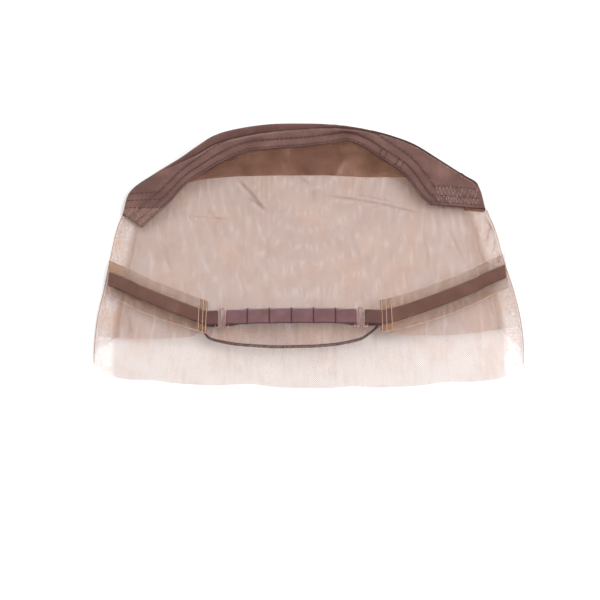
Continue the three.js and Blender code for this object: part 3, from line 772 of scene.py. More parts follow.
@dataclass(frozen=True)
class NetFinish:
    """Fine net: threads round hexagonal holes, sheer over what lies behind."""

    name: str
    thread: Colour
    pale_thread: Colour
    crease: Colour
    cell: float = 0.85 * MM
    threshold: float = 0.085
    slot: str = "fine_net"
    softness: float = 0.1
    slant: tuple[float, float] = (0.866, 0.5)
    drift: float = 4 * MM
    thinning: float = 0.06
    dense_veil: float = 0.4
    crease_veil: float = 0.3
    patch_veil: float = 0.2
    streak_veil: float = 0.12
    sparkle_veil: float = 0.3

    def material(self) -> bpy.types.Material:
        """Net with its holes cut by transparency.

        Returns:
            The material.
        """
        surface = Surface(self.name)
        grain = Vector((1.6, 0.3, 1))
        x, y, _ = surface.place()
        x = x + surface.cloud(16 * MM, 1, grain) * self.drift
        turn = 2 * math.pi / self.cell
        slant_x, slant_y = (turn * share for share in self.slant)
        rows = (y * turn).cosine()
        left = (x * slant_x + y * slant_y).cosine()
        right = (x * slant_x - y * slant_y).cosine()
        lattice = (rows + left + right + 1.5) / 4.5
        sparse, dense, crease = (surface.attribute(name) for name in ("sparse", "dense", "crease"))
        low, high = self.threshold - self.softness, self.threshold + self.softness
        hole = (lattice + sparse * self.thinning).step(low, high)
        cloud = surface.cloud(22 * MM, 3)
        streak = surface.cloud(5 * MM, 2, Vector((1.6, 0.25, 1)))
        sparkle = surface.cloud(1.6 * MM, 2)
        veil = dense * self.dense_veil + crease * self.crease_veil
        veil = veil + (cloud - 0.45) * self.patch_veil + (streak - 0.5) * self.streak_veil
        veil = veil + sparse * (sparkle - 0.45) * self.sparkle_veil
        alpha = 1 - hole * (1 - veil)
        # Pale thread in random patches; in the strips by the side folds the sparkle noise adds small painted
        # glints.
        tint = ((cloud - 0.4) * 2 + sparse * (sparkle - 0.3)).step(0, 1)
        plain = surface.blend(tint, self.thread, self.pale_thread)
        # Along crease lines the thread turns to the crease colour: on the sheer net painted shade in the
        # folds, over the denser doubled net; on the casing a golden patch.
        colour = surface.blend(crease, plain, self.crease)
        surface.dress(Base_Color=colour, Roughness=0.75, Alpha=alpha, Specular_IOR_Level=0.25)
        surface.dress(Sheen_Weight=0.15, Sheen_Roughness=0.5)
        surface.dress(Normal=surface.bump(hole, 0.1 * MM, 0.4))
        return surface.material


@dataclass(frozen=True)
class ClothFinish:
    """Stretch cloth: a fine knit with ribs across the band, with painted shade in its valley, grooves and
    pleats and a painted highlight on its near ridge, hem edge and far creases.
    """

    name: str
    base: Colour
    light: Colour
    shade: Colour
    worn: Colour
    mesh: Colour
    rib: float = 1.1 * MM
    course_share: float = 1.6
    wander: float = 2.5
    relief: float = 0.14 * MM
    slot: str = "crown_stretch_cloth"

    def material(self) -> bpy.types.Material:
        """Knit cloth.

        Returns:
            The material.
        """
        surface = Surface(self.name)
        across, along, _ = surface.place("UV")
        turn = 2 * math.pi / self.rib
        ribs = (across * turn + surface.cloud(6 * MM, 2) * self.wander).sine()
        courses = (along * (turn * self.course_share)).sine()
        cloud = surface.cloud(16 * MM, 4)
        fleck = surface.cloud(0.9 * MM, 1)
        mesh, shade, worn = (surface.attribute(name) for name in ("mesh", "shade", "worn"))
        tint = (cloud * 1.1 + fleck * 0.4 + ribs * 0.14 - 0.42).step(0, 1)
        cloth = surface.blend(tint, self.base, self.light)
        cloth = surface.blend(mesh * (fleck * 2.4 - 0.7).step(0, 1), cloth, self.mesh)
        # Painted shade of valley, grooves and pleats, then a painted highlight on the near ridge, hem edge
        # and far creases.
        cloth = surface.blend(shade, cloth, self.shade)
        colour = surface.blend(worn, cloth, self.worn)
        height = ribs * 0.5 + courses * 0.25 + fleck * 0.6
        surface.dress(Base_Color=colour, Roughness=0.72, Specular_IOR_Level=0.3)
        surface.dress(Sheen_Weight=0.08, Sheen_Roughness=0.4)
        surface.dress(Normal=surface.bump(height, self.relief, 0.7))
        return surface.material


@dataclass(frozen=True)
class TapeFinish:
    """Woven elastic: ribs along the tape, fine picks across, and firmer dark edges."""

    name: str
    base: Colour
    light: Colour
    edge: Colour
    width: float
    slot: str
    rib: float = 0.85 * MM
    pick: float = 0.6 * MM
    rim: tuple[float, float] = (0.9 * MM, 0.2 * MM)
    relief: float = 0.12 * MM

    def material(self) -> bpy.types.Material:
        """Woven tape.

        Returns:
            The material.
        """
        surface = Surface(self.name)
        along, across, _ = surface.place("UV")
        ribs = (across * (2 * math.pi / self.rib)).sine()
        picks = (along * (2 * math.pi / self.pick)).sine()
        cloud = surface.cloud(9 * MM, 3)
        tint = (cloud * 0.8 + ribs * 0.12 + picks * 0.1 - 0.1).step(0, 1)
        body = surface.blend(tint, self.base, self.light)
        half = self.width / 2
        rim = (across - half).size().step(half - self.rim[0], half - self.rim[1])
        colour = surface.blend(rim * 0.7, body, self.edge)
        surface.dress(Base_Color=colour, Roughness=0.7, Specular_IOR_Level=0.3)
        surface.dress(Sheen_Weight=0.3, Sheen_Roughness=0.35)
        surface.dress(Normal=surface.bump(ribs * 0.6 + picks * 0.3, self.relief, 0.6))
        return surface.material


@dataclass(frozen=True)
class ThreadFinish:
    """Sewing thread, twisted, with a slight gloss."""

    name: str
    base: Colour
    light: Colour
    twist: float = 0.7 * MM
    relief: float = 0.1 * MM

    def material(self) -> bpy.types.Material:
        """Twisted thread.

        Returns:
            The material.
        """
        surface = Surface(self.name)
        fleck = surface.cloud(self.twist, 1)
        colour = surface.blend(fleck.step(0.35, 0.65), self.base, self.light)
        surface.dress(Base_Color=colour, Roughness=0.6, Specular_IOR_Level=0.35)
        surface.dress(Normal=surface.bump(fleck, self.relief, 0.6))
        return surface.material


@dataclass(frozen=True)
class WireFinish:
    """Painted wire: a satin coat, a little worn at random."""

    name: str
    base: Colour
    light: Colour
    slot: str = "hook_wire"
    patch: float = 1.8 * MM

    def material(self) -> bpy.types.Material:
        """Painted wire.

        Returns:
            The material.
        """
        surface = Surface(self.name)
        worn = surface.cloud(self.patch, 2)
        colour = surface.blend(worn.step(0.4, 0.7), self.base, self.light)
        roughness = 0.28 + worn * 0.2
        surface.dress(Base_Color=colour, Roughness=roughness, Specular_IOR_Level=0.6)
        surface.dress(Coat_Weight=0.4, Coat_Roughness=0.2)
        return surface.material


@dataclass(frozen=True)
class FloorFinish:
    """Plain white floor."""

    name: str = "white_floor"
    base: Colour = (0.9, 0.9, 0.9)

    def material(self) -> bpy.types.Material:
        """Matt white.

        Returns:
            The material.
        """
        surface = Surface(self.name)
        surface.dress(Base_Color=(*self.base, 1), Roughness=0.9, Specular_IOR_Level=0.1)
        return surface.material


class Finish(Enum):
    """The finishes of the cap's pieces."""

    # The third colour is painted shade; the fourth is a painted highlight.
    CROWN = ClothFinish(
        "stretch_cloth", colour_of(90, 61, 56), colour_of(132, 97, 89), colour_of(54, 31, 28),
        colour_of(166, 136, 128), colour_of(140, 110, 98),
    )
    # Its third colour darkens the threads along creases: painted shade of the folds.
    NET = NetFinish(
        "sheer_net", colour_of(164, 114, 88), colour_of(202, 158, 130), colour_of(116, 80, 66)
    )
    CASING = NetFinish(
        "sleeve_net", colour_of(146, 104, 80), colour_of(196, 156, 132), colour_of(176, 138, 108),
        cell=0.8 * MM, threshold=0.05, slot="casing_net",
    )
    ELASTIC = TapeFinish(
        "brown_tape", colour_of(82, 50, 46), colour_of(108, 73, 69), colour_of(42, 23, 21),
        12.4 * MM, "brown_elastic",
    )
    STRAP = TapeFinish(
        "mauve_tape", colour_of(98, 65, 67), colour_of(130, 95, 100), colour_of(66, 40, 40),
        12.4 * MM, "mauve_elastic",
    )
    DARK_THREAD = ThreadFinish("dark_thread", colour_of(56, 33, 30), colour_of(84, 54, 49))
    # Tan thread: stitches of the casing's inner hem, and pale threads along its folded edges that paint
    # their highlight.
    TAN_THREAD = ThreadFinish("tan_thread", colour_of(172, 134, 106), colour_of(212, 180, 152))
    # Pale thread that paints glints over the right tab and a highlight line along the right fold.
    GLOSSY_THREAD = ThreadFinish("glossy_thread", colour_of(108, 80, 75), colour_of(200, 180, 175))
    HOOK = WireFinish("hook_paint", colour_of(128, 88, 82), colour_of(178, 138, 132))

    def material(self) -> bpy.types.Material:
        """Material of the finish, made once."""
        return bpy.data.materials.get(self.value.name) or self.value.material()


# Meshes


def add_piece(
    mesh: bpy.types.Mesh, name: str, finish: Finish, nodes: Sequence[str] = ()
) -> bpy.types.Object:
    """Adds a finished mesh to the cap.

    Args:
        mesh: Mesh in its place.
        name: Name of the piece.
        finish: Finish of the piece.
        nodes: Solids that the piece stands for.

    Returns:
        The object, which rides on the cap's one body.
    """
    for polygon in mesh.polygons:
        polygon.use_smooth = True
    piece = bpy.data.objects.new(name, mesh)
    bpy.context.scene.collection.objects.link(piece)
    mesh.materials.append(finish.material())
    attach(piece, BODY)
    if nodes:
        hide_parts(*nodes)
    hasattr(finish.value, "slot")
    LOG.info("%s: %d faces", name, len(mesh.polygons))
    return piece


def thicken(piece: bpy.types.Object, thickness: float) -> None:
    """Gives a sheet its thickness, half to each side.

    Args:
        piece: The sheet.
        thickness: Thickness in metres.
    """
    wall = piece.modifiers.new("wall", "SOLIDIFY")
    wall.thickness = thickness
    wall.offset = 0


def tubes(name: str, runs: Sequence[Sequence[Vector]], radius: float, sides: int = 1) -> bpy.types.Mesh:
    """Mesh of round threads or wires along runs of points.

    Args:
        name: Name of the mesh.
        runs: Runs of points, one for each thread.
        radius: Radius of the thread.
        sides: Roundness of its section.

    Returns:
        The mesh, in its place.
    """
    curve = bpy.data.curves.new(name, "CURVE")
    curve.dimensions = "3D"
    curve.bevel_depth = radius
    curve.bevel_resolution = sides
    curve.use_fill_caps = True
    for run in runs:
        spline = curve.splines.new("POLY")
        spline.points.add(len(run) - 1)
        for spot, point in zip(spline.points, run):
            spot.co = (*point, 1)
    holder = bpy.data.objects.new(name, curve)
    bpy.context.scene.collection.objects.link(holder)
    bpy.context.view_layer.update()
    mesh = bpy.data.meshes.new_from_object(holder.evaluated_get(bpy.context.evaluated_depsgraph_get()))
    bpy.data.objects.remove(holder)
    bpy.data.curves.remove(curve)
    return mesh


class ClothGrid:
    """Grid of points on a piece of cloth, with the cloth's own lengths as its UV map."""

    def __init__(self, columns: int, rows: int, place: Callable[[int, int], Vector]) -> None:
        """Works out the points.

        Args:
            columns: Steps across.
            rows: Steps along.
            place: Point for a column and a row.
        """
        self.columns = columns
        self.rows = rows
        self.points = [[place(i, j) for j in range(rows + 1)] for i in range(columns + 1)]
        self.values: dict[str, Callable[[int, int], float]] = {}

    def normal(self, i: int, j: int) -> Vector:
        """Direction that the cloth faces at a point.

        Args:
            i: Column of the grid.
            j: Row of the grid.

        Returns:
            Unit vector.
        """
        before, after = max(0, i - 1), min(self.columns, i + 1)
        under, over = max(0, j - 1), min(self.rows, j + 1)
        across = self.points[after][j] - self.points[before][j]
        along = self.points[i][over] - self.points[i][under]
        return across.cross(along).normalized()

    def lift(self, relief: Callable[[int, int], float]) -> None:
        """Moves each point out by a relief in metres.

        Args:
            relief: Relief for a column and a row.
        """
        grid = [(i, j) for i in range(self.columns + 1) for j in range(self.rows + 1)]
        moves = [self.normal(i, j) * relief(i, j) for i, j in grid]
        for (i, j), move in zip(grid, moves):
            self.points[i][j] = self.points[i][j] + move

    def along_lengths(self, i: int) -> list[float]:
        """Lengths from the first row to each row of a column.

        Args:
            i: Column of the grid.

        Returns:
            Lengths in metres, one for each row.
        """
        lengths = [0.0]
        for j in range(self.rows):
            lengths.append(lengths[-1] + (self.points[i][j + 1] - self.points[i][j]).length)
        return lengths

    def at_length(self, i: int, length: float) -> tuple[Vector, Vector]:
        """Point and facing of a column at a length from its first row.

        Args:
            i: Column of the grid.
            length: Length from the first row.

        Returns:
            Point and facing.
        """
        lengths = self.along_lengths(i)
        j = min(max(bisect_left(lengths, length) - 1, 0), self.rows - 1)
        t = clamp01((length - lengths[j]) / (lengths[j + 1] - lengths[j]))
        return self.points[i][j].lerp(self.points[i][j + 1], t), self.normal(i, j)

    def mesh(self, name: str, close_rows: bool = False) -> bpy.types.Mesh:
        """Mesh of the cloth.

        Args:
            name: Name of the mesh.
            close_rows: Whether the last row meets the first one.

        Returns:
            The mesh, with its attributes and its UV map in metres.
        """
        shape = bmesh.new()
        bmesh.ops.create_grid(shape, x_segments=self.columns, y_segments=self.rows, size=1)
        uv = shape.loops.layers.uv.new("cloth")
        middle = self.rows // 2
        across = [0.0]
        for i in range(self.columns):
            across.append(across[-1] + (self.points[i + 1][middle] - self.points[i][middle]).length)
        along = [self.along_lengths(i) for i in range(self.columns + 1)]
        layers = {key: shape.verts.layers.float.new(key) for key in self.values}
        spots = {}
        for vert in shape.verts:
            i = round((vert.co.x + 1) / 2 * self.columns)
            j = round((vert.co.y + 1) / 2 * self.rows)
            spots[vert] = (i, j)
            for key, value in self.values.items():
                vert[layers[key]] = value(i, j)
        for face in shape.faces:
            for loop in face.loops:
                i, j = spots[loop.vert]
                loop[uv].uv = (across[i], along[i][j])
        for vert, (i, j) in spots.items():
            vert.co = self.points[i][j]
        if close_rows:
            bmesh.ops.remove_doubles(shape, verts=shape.verts, dist=0.001 * MM)
        mesh = bpy.data.meshes.new(name)
        shape.to_mesh(mesh)
        shape.free()
        return mesh


# Pieces of the cap


@dataclass
class CrownPanel:
    """Crown panel: stretch cloth over the fold, with its stitched hem band in front."""

    shape: CapShape
    columns: int = 250
    rows: int = 105
    wall: float = 0.9 * MM
    stitch_rows: tuple[float, ...] = (0.9 * MM, 6.8 * MM, 13.4 * MM)
    stitch: float = 2.4 * MM
    stitch_gap: float = 0.5 * MM
    thread: float = 0.32 * MM
    thread_lift: float = 0.4
    quilting: float = 0.3 * MM
    quilting_reach: float = 2.2 * MM
    quilting_end: float = 6 * MM
    pucker: float = 0.28 * MM
    pucker_across: float = 4.5 * MM
    pucker_along: float = 14 * MM
    flat_width: float = 300 * MM
    flat_length: float = 80 * MM
    flat_area: float = 0.0165
    tab_from: float = 0.6
    tab_to: float = 0.87
    tab_step: float = 0.8 * MM
    least_facing: float = 0.3
    tick_places: tuple[float, ...] = (0.352, 0.378, 0.43, 0.452)
    tick_steps: int = 6
    fold_line_from: float = 0.3
    fold_line_end: int = 14
    fold_dark: float = 0.1 * MM
    fold_light: float = 2.4 * MM
    seam_radius: float = 0.5 * MM
    zigzag_radius: float = 0.1 * MM
    zigzag_steps: int = 180
    zigzag_swing: int = 8
    zigzag_inset: float = 0.03
    zigzag_margin: float = 0.1
    zigzag_wander: float = 0.4
    groove_shade: float = 0.5
    groove_reach: float = 0.9 * MM
    valley_shade: float = 0.9
    valley_rows: float = 3.4
    hem_wear: float = 0.12
    ridge_wear: float = 0.28
    ridge_rows: float = 3.0

    def grid(self) -> ClothGrid:
        """Points of the cloth, from the near hem over the fold to the far seam.

        Returns:
            Grid of the cloth.
        """
        last = len(CROWN_RIBS) - 1
        ribs = [RibSpline(self.shape.rib_at(last * i / self.columns)) for i in range(self.columns + 1)]
        floor = self.shape.crown_wall / 2

        def place(i: int, j: int) -> Vector:
            """Point of a rib, never under the ground.

            Args:
                i: Column of the grid.
                j: Row of the grid.

            Returns:
                Point in metres.
            """
            point = ribs[i].at(j / self.rows)
            point.z = max(point.z, floor)
            return point

        return ClothGrid(self.columns, self.rows, place)

    def row_of(self, point: RibPoint) -> float:
        """Row of the grid at a point of the ribs."""
        return self.rows * point / RibPoint.SEAM

    def relief(self, grid: ClothGrid) -> Callable[[int, int], float]:
        """Quilting between the stitch rows and puckers along them.

        Args:
            grid: Points of the cloth.

        Returns:
            Relief in metres, for a column and a row.
        """
        lengths = [grid.along_lengths(i) for i in range(grid.columns + 1)]
        first, end = self.stitch_rows[0], self.stitch_rows[-1] + self.quilting_end

        def height(i: int, j: int) -> float:
            """Relief at one point.

            Args:
                i: Column of the grid.
                j: Row of the grid.

            Returns:
                Height in metres.
            """
            length = lengths[i][j]
            if length > end:
                return 0.0
            nearest = min(abs(length - row) for row in self.stitch_rows)
            puff = self.quilting * (smooth(nearest / self.quilting_reach) - 1)
            x = grid.points[i][j].x
            ruck = noise.noise(Vector((x / self.pucker_across, length / self.pucker_along, 3.7)))
            fade = smooth((end - length) / self.quilting_end) * smooth((length + first) / first)
            return fade * (puff + self.pucker * ruck)

        return height

    def tab_line(self, x: float, number: int) -> float:
        """Place along of a stitch row over the tab that is nearer, in metres.

        Args:
            x: Place across.
            number: Number of the stitch row, from the hem.

        Returns:
            Place along.
        """
        row = (LEFT_TAB_ROWS if x < 0 else RIGHT_TAB_ROWS)[number]
        share = clamp01((abs(x) / self.shape.half_width - self.tab_from) / (self.tab_to - self.tab_from))
        return mix(row.inner, row.outer, share) * self.shape.half_depth

    def raised(self, point: Vector, facing: Vector) -> Vector:
        """Point of a thread that lies on the cloth."""
        return point + facing * (self.wall / 2 + self.thread * self.thread_lift)

    def dropped(self, tree: BVHTree, x: float, y: float) -> Vector | None:
        """Point of a thread over a place of the cloth, or none beyond its fold.

        Args:
            tree: Search tree of the cloth.
            x: Place across.
            y: Place along.

        Returns:
            The point, or none.
        """
        spot, facing, _, _ = tree.ray_cast(Vector((x, y, 2 * self.shape.crown_height)), Vector((0, 0, -1)))
        if spot is None or abs(facing.z) < self.least_facing:
            return None
        return self.raised(spot, facing if facing.z > 0 else -facing)

    def stitch_line(self, grid: ClothGrid, tree: BVHTree, number: int) -> list[Vector]:
        """Line of one stitch row: along the hem, and out over both tabs to the fold.

        Args:
            grid: Points of the cloth.
            tree: Search tree of the cloth.
            number: Number of the stitch row, from the hem.

        Returns:
            Points from left to right.
        """
        line = []
        for i in range(1, grid.columns):
            point, facing = grid.at_length(i, self.stitch_rows[number])
            if abs(point.x) < self.shape.half_width / 2 or point.y > self.tab_line(point.x, number):
                line.append(self.raised(point, facing))
        for hand, end in ((-1, line[0]), (1, line[-1])):
            tail, x = [], end.x
            while spot := self.dropped(tree, x := x + hand * self.tab_step, self.tab_line(x, number)):
                tail.append(spot)
            line = [*reversed(tail), *line] if hand < 0 else [*line, *tail]
        return line

    def stitches(self, line: Sequence[Vector]) -> list[list[Vector]]:
        """Stitches along a line of points.

        Args:
            line: Points of the line.

        Returns:
            Runs of points, one for each stitch.
        """
        runs: list[list[Vector]] = []
        travelled, start, run = 0.0, 0.0, [line[0]]
        for before, point in zip(line, line[1:]):
            travelled += (point - before).length
            if travelled - start <= self.stitch:
                run.append(point)
            elif travelled - start >= self.stitch + self.stitch_gap:
                if len(run) > 1:
                    runs.append(run)
                run, start = [point], travelled
        return runs

    def ticks(self, grid: ClothGrid) -> list[list[Vector]]:
        """Short cross threads between the stitch rows, where the band was taken in.

        Args:
            grid: Points of the cloth.

        Returns:
            Runs of points, one for each thread.
        """
        runs = []
        for place in self.tick_places:
            middle = [abs(column[0].x - place * self.shape.half_width) for column in grid.points]
            i = middle.index(min(middle))
            lengths = [mix(*self.stitch_rows[:2], k / self.tick_steps) for k in range(self.tick_steps + 1)]
            runs.append([self.raised(*grid.at_length(i, length)) for length in lengths])
        return runs

    def fold_line(self, grid: ClothGrid, inset: float) -> list[list[Vector]]:
        """Line along the right part of the fold, at an inset from its ridge.

        Args:
            grid: Points of the cloth.
            inset: Distance from the ridge, towards the hem.

        Returns:
            One run of points.
        """
        ridge = round(self.row_of(RibPoint.FAR_RIDGE))
        run = []
        for i, column in enumerate(grid.points):
            if column[ridge].x > self.fold_line_from * self.shape.half_width:
                length = grid.along_lengths(i)[ridge] - inset
                run.append(self.raised(*grid.at_length(i, length)))
        return [run[:-self.fold_line_end]]

    def zigzags(self, tree: BVHTree) -> list[list[Vector]]:
        """Pale zigzag thread over the right tab, between its stitch rows: it paints glints as a highlight.

        Args:
            tree: Search tree of the cloth.

        Returns:
            Two runs of points.
        """
        runs = []
        for number in (0, 1):
            run = []
            for k in range(self.zigzag_steps + 1):
                share = mix(self.tab_from + self.zigzag_inset, self.tab_to - self.zigzag_inset,
                            k / self.zigzag_steps)
                x = share * self.shape.half_width
                low, high = self.tab_line(x, number), self.tab_line(x, number + 1)
                swing = mix(self.zigzag_margin, 1 - self.zigzag_margin, abs(k / self.zigzag_swing % 2 - 1))
                wander = self.zigzag_wander * noise.noise(Vector((k * 0.07, number * 5.0, 2.5)))
                spot = self.dropped(tree, x, mix(low, high, swing + wander))
                if spot:
                    run.append(spot)
            runs.append(run)
        return runs

    def marks(self, grid: ClothGrid) -> None:
        """Sets where the cloth gets painted shade, a painted highlight or an open mesh.

        Args:
            grid: Points of the cloth.
        """
        lengths = [grid.along_lengths(i) for i in range(grid.columns + 1)]
        ridge, valley, corner = (
            self.row_of(point) for point in (RibPoint.NEAR_RIDGE, RibPoint.VALLEY, RibPoint.GROUND)
        )
        splits = [self.shape.curves["split"]((len(CROWN_RIBS) - 1) * i / self.columns)
                  for i in range(self.columns + 1)]

        def shares(i: int, j: int) -> tuple[float, float]:
            """Place of a point as shares."""
            point = grid.points[i][j]
            return point.x / self.shape.half_width, point.y / self.shape.half_depth

        def shade(i: int, j: int) -> float:
            """Painted shade of the valley, the stitch grooves and the pleats.

            Args:
                i: Column of the grid.
                j: Row of the grid.

            Returns:
                Share from 0 to 1.
            """
            nearest = min(abs(lengths[i][j] - row) for row in self.stitch_rows)
            groove = math.exp(-((nearest / self.groove_reach) ** 2)) if j < corner else 0.0
            gap = splits[i] * math.exp(-(((j - valley) / self.valley_rows) ** 2))
            pleat = sum(mark.at(*shares(i, j)) for mark in PLEATS) if j >= corner else 0.0
            return clamp01(self.groove_shade * groove + self.valley_shade * gap + pleat)

        def worn(i: int, j: int) -> float:
            """Painted highlight on the hem's edge and the near ridge, and on creases of the far panel.

            Args:
                i: Column of the grid.
                j: Row of the grid.

            Returns:
                Share from 0 to 1.
            """
            if j >= corner:
                return clamp01(sum(mark.at(*shares(i, j)) for mark in CREASE_HIGHLIGHTS))
            hem = self.hem_wear * smooth(1 - lengths[i][j] / MM)
            near = splits[i] * math.exp(-(((j - ridge) / self.ridge_rows) ** 2))
            return clamp01(hem + self.ridge_wear * near)

        def mesh(i: int, j: int) -> float:
            """Open mesh at the end of the left tab.

            Args:
                i: Column of the grid.
                j: Row of the grid.

            Returns:
                Share from 0 to 1.
            """
            x, y = grid.points[i][j].xy
            if x > -self.tab_from * self.shape.half_width or j >= corner:
                return 0.0
            return smooth((self.tab_line(x, 0) - y) / MM + 0.5)

        grid.values.update(shade=shade, worn=worn, mesh=mesh)

    def build(self) -> None:
        """Builds the cloth and its stitching."""
        grid = self.grid()
        grid.lift(self.relief(grid))
        self.marks(grid)
        cloth = add_piece(grid.mesh("crown_cloth"), "crown_cloth", Finish.CROWN, ["crown_panel"])
        tree = BVHTree.FromObject(cloth, bpy.context.evaluated_depsgraph_get())
        thicken(cloth, self.wall)
        lines = [self.stitch_line(grid, tree, number) for number in range(len(self.stitch_rows))]
        runs = [run for line in lines for run in self.stitches(line)] + self.ticks(grid)
        add_piece(tubes("band_stitches", runs, self.thread), "band_stitches", Finish.DARK_THREAD)
        seam = tubes("fold_seam", self.fold_line(grid, self.fold_dark), self.seam_radius, 2)
        add_piece(seam, "fold_seam", Finish.DARK_THREAD)
        # Painted highlights: pale zigzag threads for the glints on the right tab, and a pale line along the
        # right fold.
        runs = self.zigzags(tree) + self.fold_line(grid, self.fold_light)
        add_piece(tubes("tab_glint_threads", runs, self.zigzag_radius), "tab_glint_threads", Finish.GLOSSY_THREAD)


@dataclass
class NetBody:
    """The net of the cap: the front net on the ground, folded up at the sides, and the back net."""

    shape: CapShape
    wall: float = 0.08 * MM
    back_columns: int = 216
    back_rows: int = 168
    strip: float = 15 * MM
    strip_ease: float = 4 * MM
    front_rows: int = 84
    flap_columns: int = 8
    fold_steps: int = 8
    ground_columns: int = 130
    corner_columns: int = 2
    crown_steps: int = 34
    settle_passes: int = 8
    ripple: float = 0.35 * MM
    ripple_size: tuple[float, float] = (17 * MM, 26 * MM)
    fine_ripple: float = 0.4
    fine_ripple_size: tuple[float, float] = (6 * MM, 15 * MM)
    fold_dense: float = 1.5 * MM
    flap_drop: float = 0.1
    widest: float = 0.999
    overlock_pitch: float = 1.3 * MM
    overlock_width: float = 1.7 * MM
    overlock_thread: float = 0.27 * MM
    overlock_from: float = -0.5
    overlock_to: float = 0.33
    overlock_lifts: tuple[float, float, float] = (0.3 * MM, 0.1 * MM, 0.25 * MM)
    back_flat: tuple[float, float] = (285 * MM, 184 * MM)
    back_area: float = 0.0400
    front_flat: tuple[float, float] = (323 * MM, 188 * MM)
    front_area: float = 0.0526

    def __post_init__(self) -> None:
        """Reads the edges of the crown panel."""
        last = len(CROWN_RIBS) - 1
        self.ribs = [self.shape.rib_at(last * i / self.crown_steps) for i in range(self.crown_steps + 1)]
        first, end = self.ribs[0], self.ribs[-1]
        corners = first[RibPoint.FOLD], end[RibPoint.FOLD]
        self.near_hem = EdgeLine([corners[0], *(rib[RibPoint.HEM] for rib in self.ribs), corners[1]])
        self.far_seam = EdgeLine([corners[0], *(rib[RibPoint.SEAM] for rib in self.ribs), corners[1]])

    def ripples(self, point: Vector) -> float:
        """Small waves of the loose net, in metres.

        Args:
            point: Point of the net.

        Returns:
            Height of the waves.
        """
        spot = Vector((point.x / self.ripple_size[0], point.y / self.ripple_size[1], 0.5))
        fine = Vector((point.x / self.fine_ripple_size[0], point.y / self.fine_ripple_size[1], 4.5))
        return self.ripple * (noise.noise(spot) + self.fine_ripple * noise.noise(fine))

    def back_grid(self) -> ClothGrid:
        """Points of the back net, from the nape to under the hem band.

        Returns:
            Grid of the net.
        """
        shape = self.shape
        tops = []
        for i in range(self.back_columns + 1):
            share = mix(-1, 1, i / self.back_columns)
            hand = math.copysign(1, share)
            high = 0.0
            for _ in range(self.settle_passes):
                x = hand * abs(share) * (shape.side_at(hand, high) - shape.edge_inset * abs(share))
                high = self.near_hem(x) + mix(shape.hem_tuck, -shape.seam_gap, share ** 4)
            tops.append(high)

        def place(i: int, j: int) -> Vector:
            """Point of the back net.

            Args:
                i: Column of the grid.
                j: Row of the grid.

            Returns:
                Point in metres.
            """
            share = mix(-1, 1, i / self.back_columns)
            y = mix(shape.nape_at(share), tops[i], j / self.back_rows)
            x = share * (shape.side_at(share, y) - shape.edge_inset * abs(share))
            z = shape.back_top(x, y) - shape.net_wall / 2
            return Vector((x, y, z + self.ripples(Vector((x, y, 0)))))

        return ClothGrid(self.back_columns, self.back_rows, place)

    def seam_points(self) -> list[Vector]:
        """Top ends of the front net's ground: the far seam, and the crown's end ribs.

        Returns:
            Points from left to right.
        """
        left, right = (
            [rib[RibPoint.GROUND].lerp(rib[RibPoint.SEAM], k / self.corner_columns)
             for k in range(self.corner_columns)]
            for rib in (self.ribs[0], self.ribs[-1])
        )
        return [*left, *(rib[RibPoint.SEAM] for rib in self.ribs), *reversed(right)]

    def ground_reach(self, hand: float, y: float) -> float:
        """Inner reach of the ground, where the side fold begins."""
        return self.shape.side_at(hand, y) - self.shape.fold_radius - self.shape.net_wall / 2

    def front_grid(self) -> ClothGrid:
        """Points of the front net: flap, side fold, ground, side fold and flap.

        Returns:
            Grid of the net.
        """
        shape = self.shape
        half = [("flap", k / self.flap_columns) for k in range(self.flap_columns)]
        half += [("fold", k / self.fold_steps) for k in range(self.fold_steps + 1)]
        seam = self.seam_points()
        columns: list[tuple[str, float, float]] = [(kind, share, -1) for kind, share in half]
        for k in range(self.ground_columns + 1):
            columns.append(("ground", (len(seam) - 1) * k / self.ground_columns, 0))
        columns += [(kind, share, 1) for kind, share in reversed(half)]
        net_half = shape.net_wall / 2

        def corner_low(hand: float) -> float:
            """Corner of the hem at one side."""
            return shape.front_hem_at(hand)

        def flap_low(hand: float) -> float:
            """Lower end of the lapped flap at one side."""
            return mix(shape.nape_at(hand), corner_low(hand), self.flap_drop)

        def ground(step: float, t: float) -> Vector:
            """Point of the ground.

            Args:
                step: Place along the seam's points.
                t: Share of the way, from 0 to 1.

            Returns:
                Point in metres.
            """
            share = mix(-1, 1, (step + 1) / (len(seam) + 1))
            k = min(int(step), len(seam) - 2)
            top = seam[k].lerp(seam[k + 1], step - k)
            low, high = shape.front_hem_at(share), top.y - shape.seam_gap
            y = mix(low, high, t)
            top_share = max(-self.widest, min(self.widest, top.x / self.ground_reach(top.x, high)))
            x = mix(share, top_share, t) * self.ground_reach(share, y)
            return Vector((x, y, net_half + shape.hem_lift(x, y, low)))

        def flap(hand: float, share: float, t: float) -> Vector:
            """Point of a lapped flap.

            Args:
                hand: -1 on the left and 1 on the right.
                share: Share across, from 0 to 1.
                t: Share of the way, from 0 to 1.

            Returns:
                Point in metres.
            """
            inward = mix(shape.flap_width, shape.fold_radius + net_half, share)
            edge = shape.side_at(hand, self.near_hem(hand * shape.half_width)) - inward
            high = self.near_hem(hand * edge) - shape.seam_gap
            y = mix(mix(flap_low(hand), corner_low(hand), share / 2), high, t)
            x = hand * (shape.side_at(hand, y) - inward)
            return Vector((x, y, shape.back_top(x, y) + shape.gap + net_half))

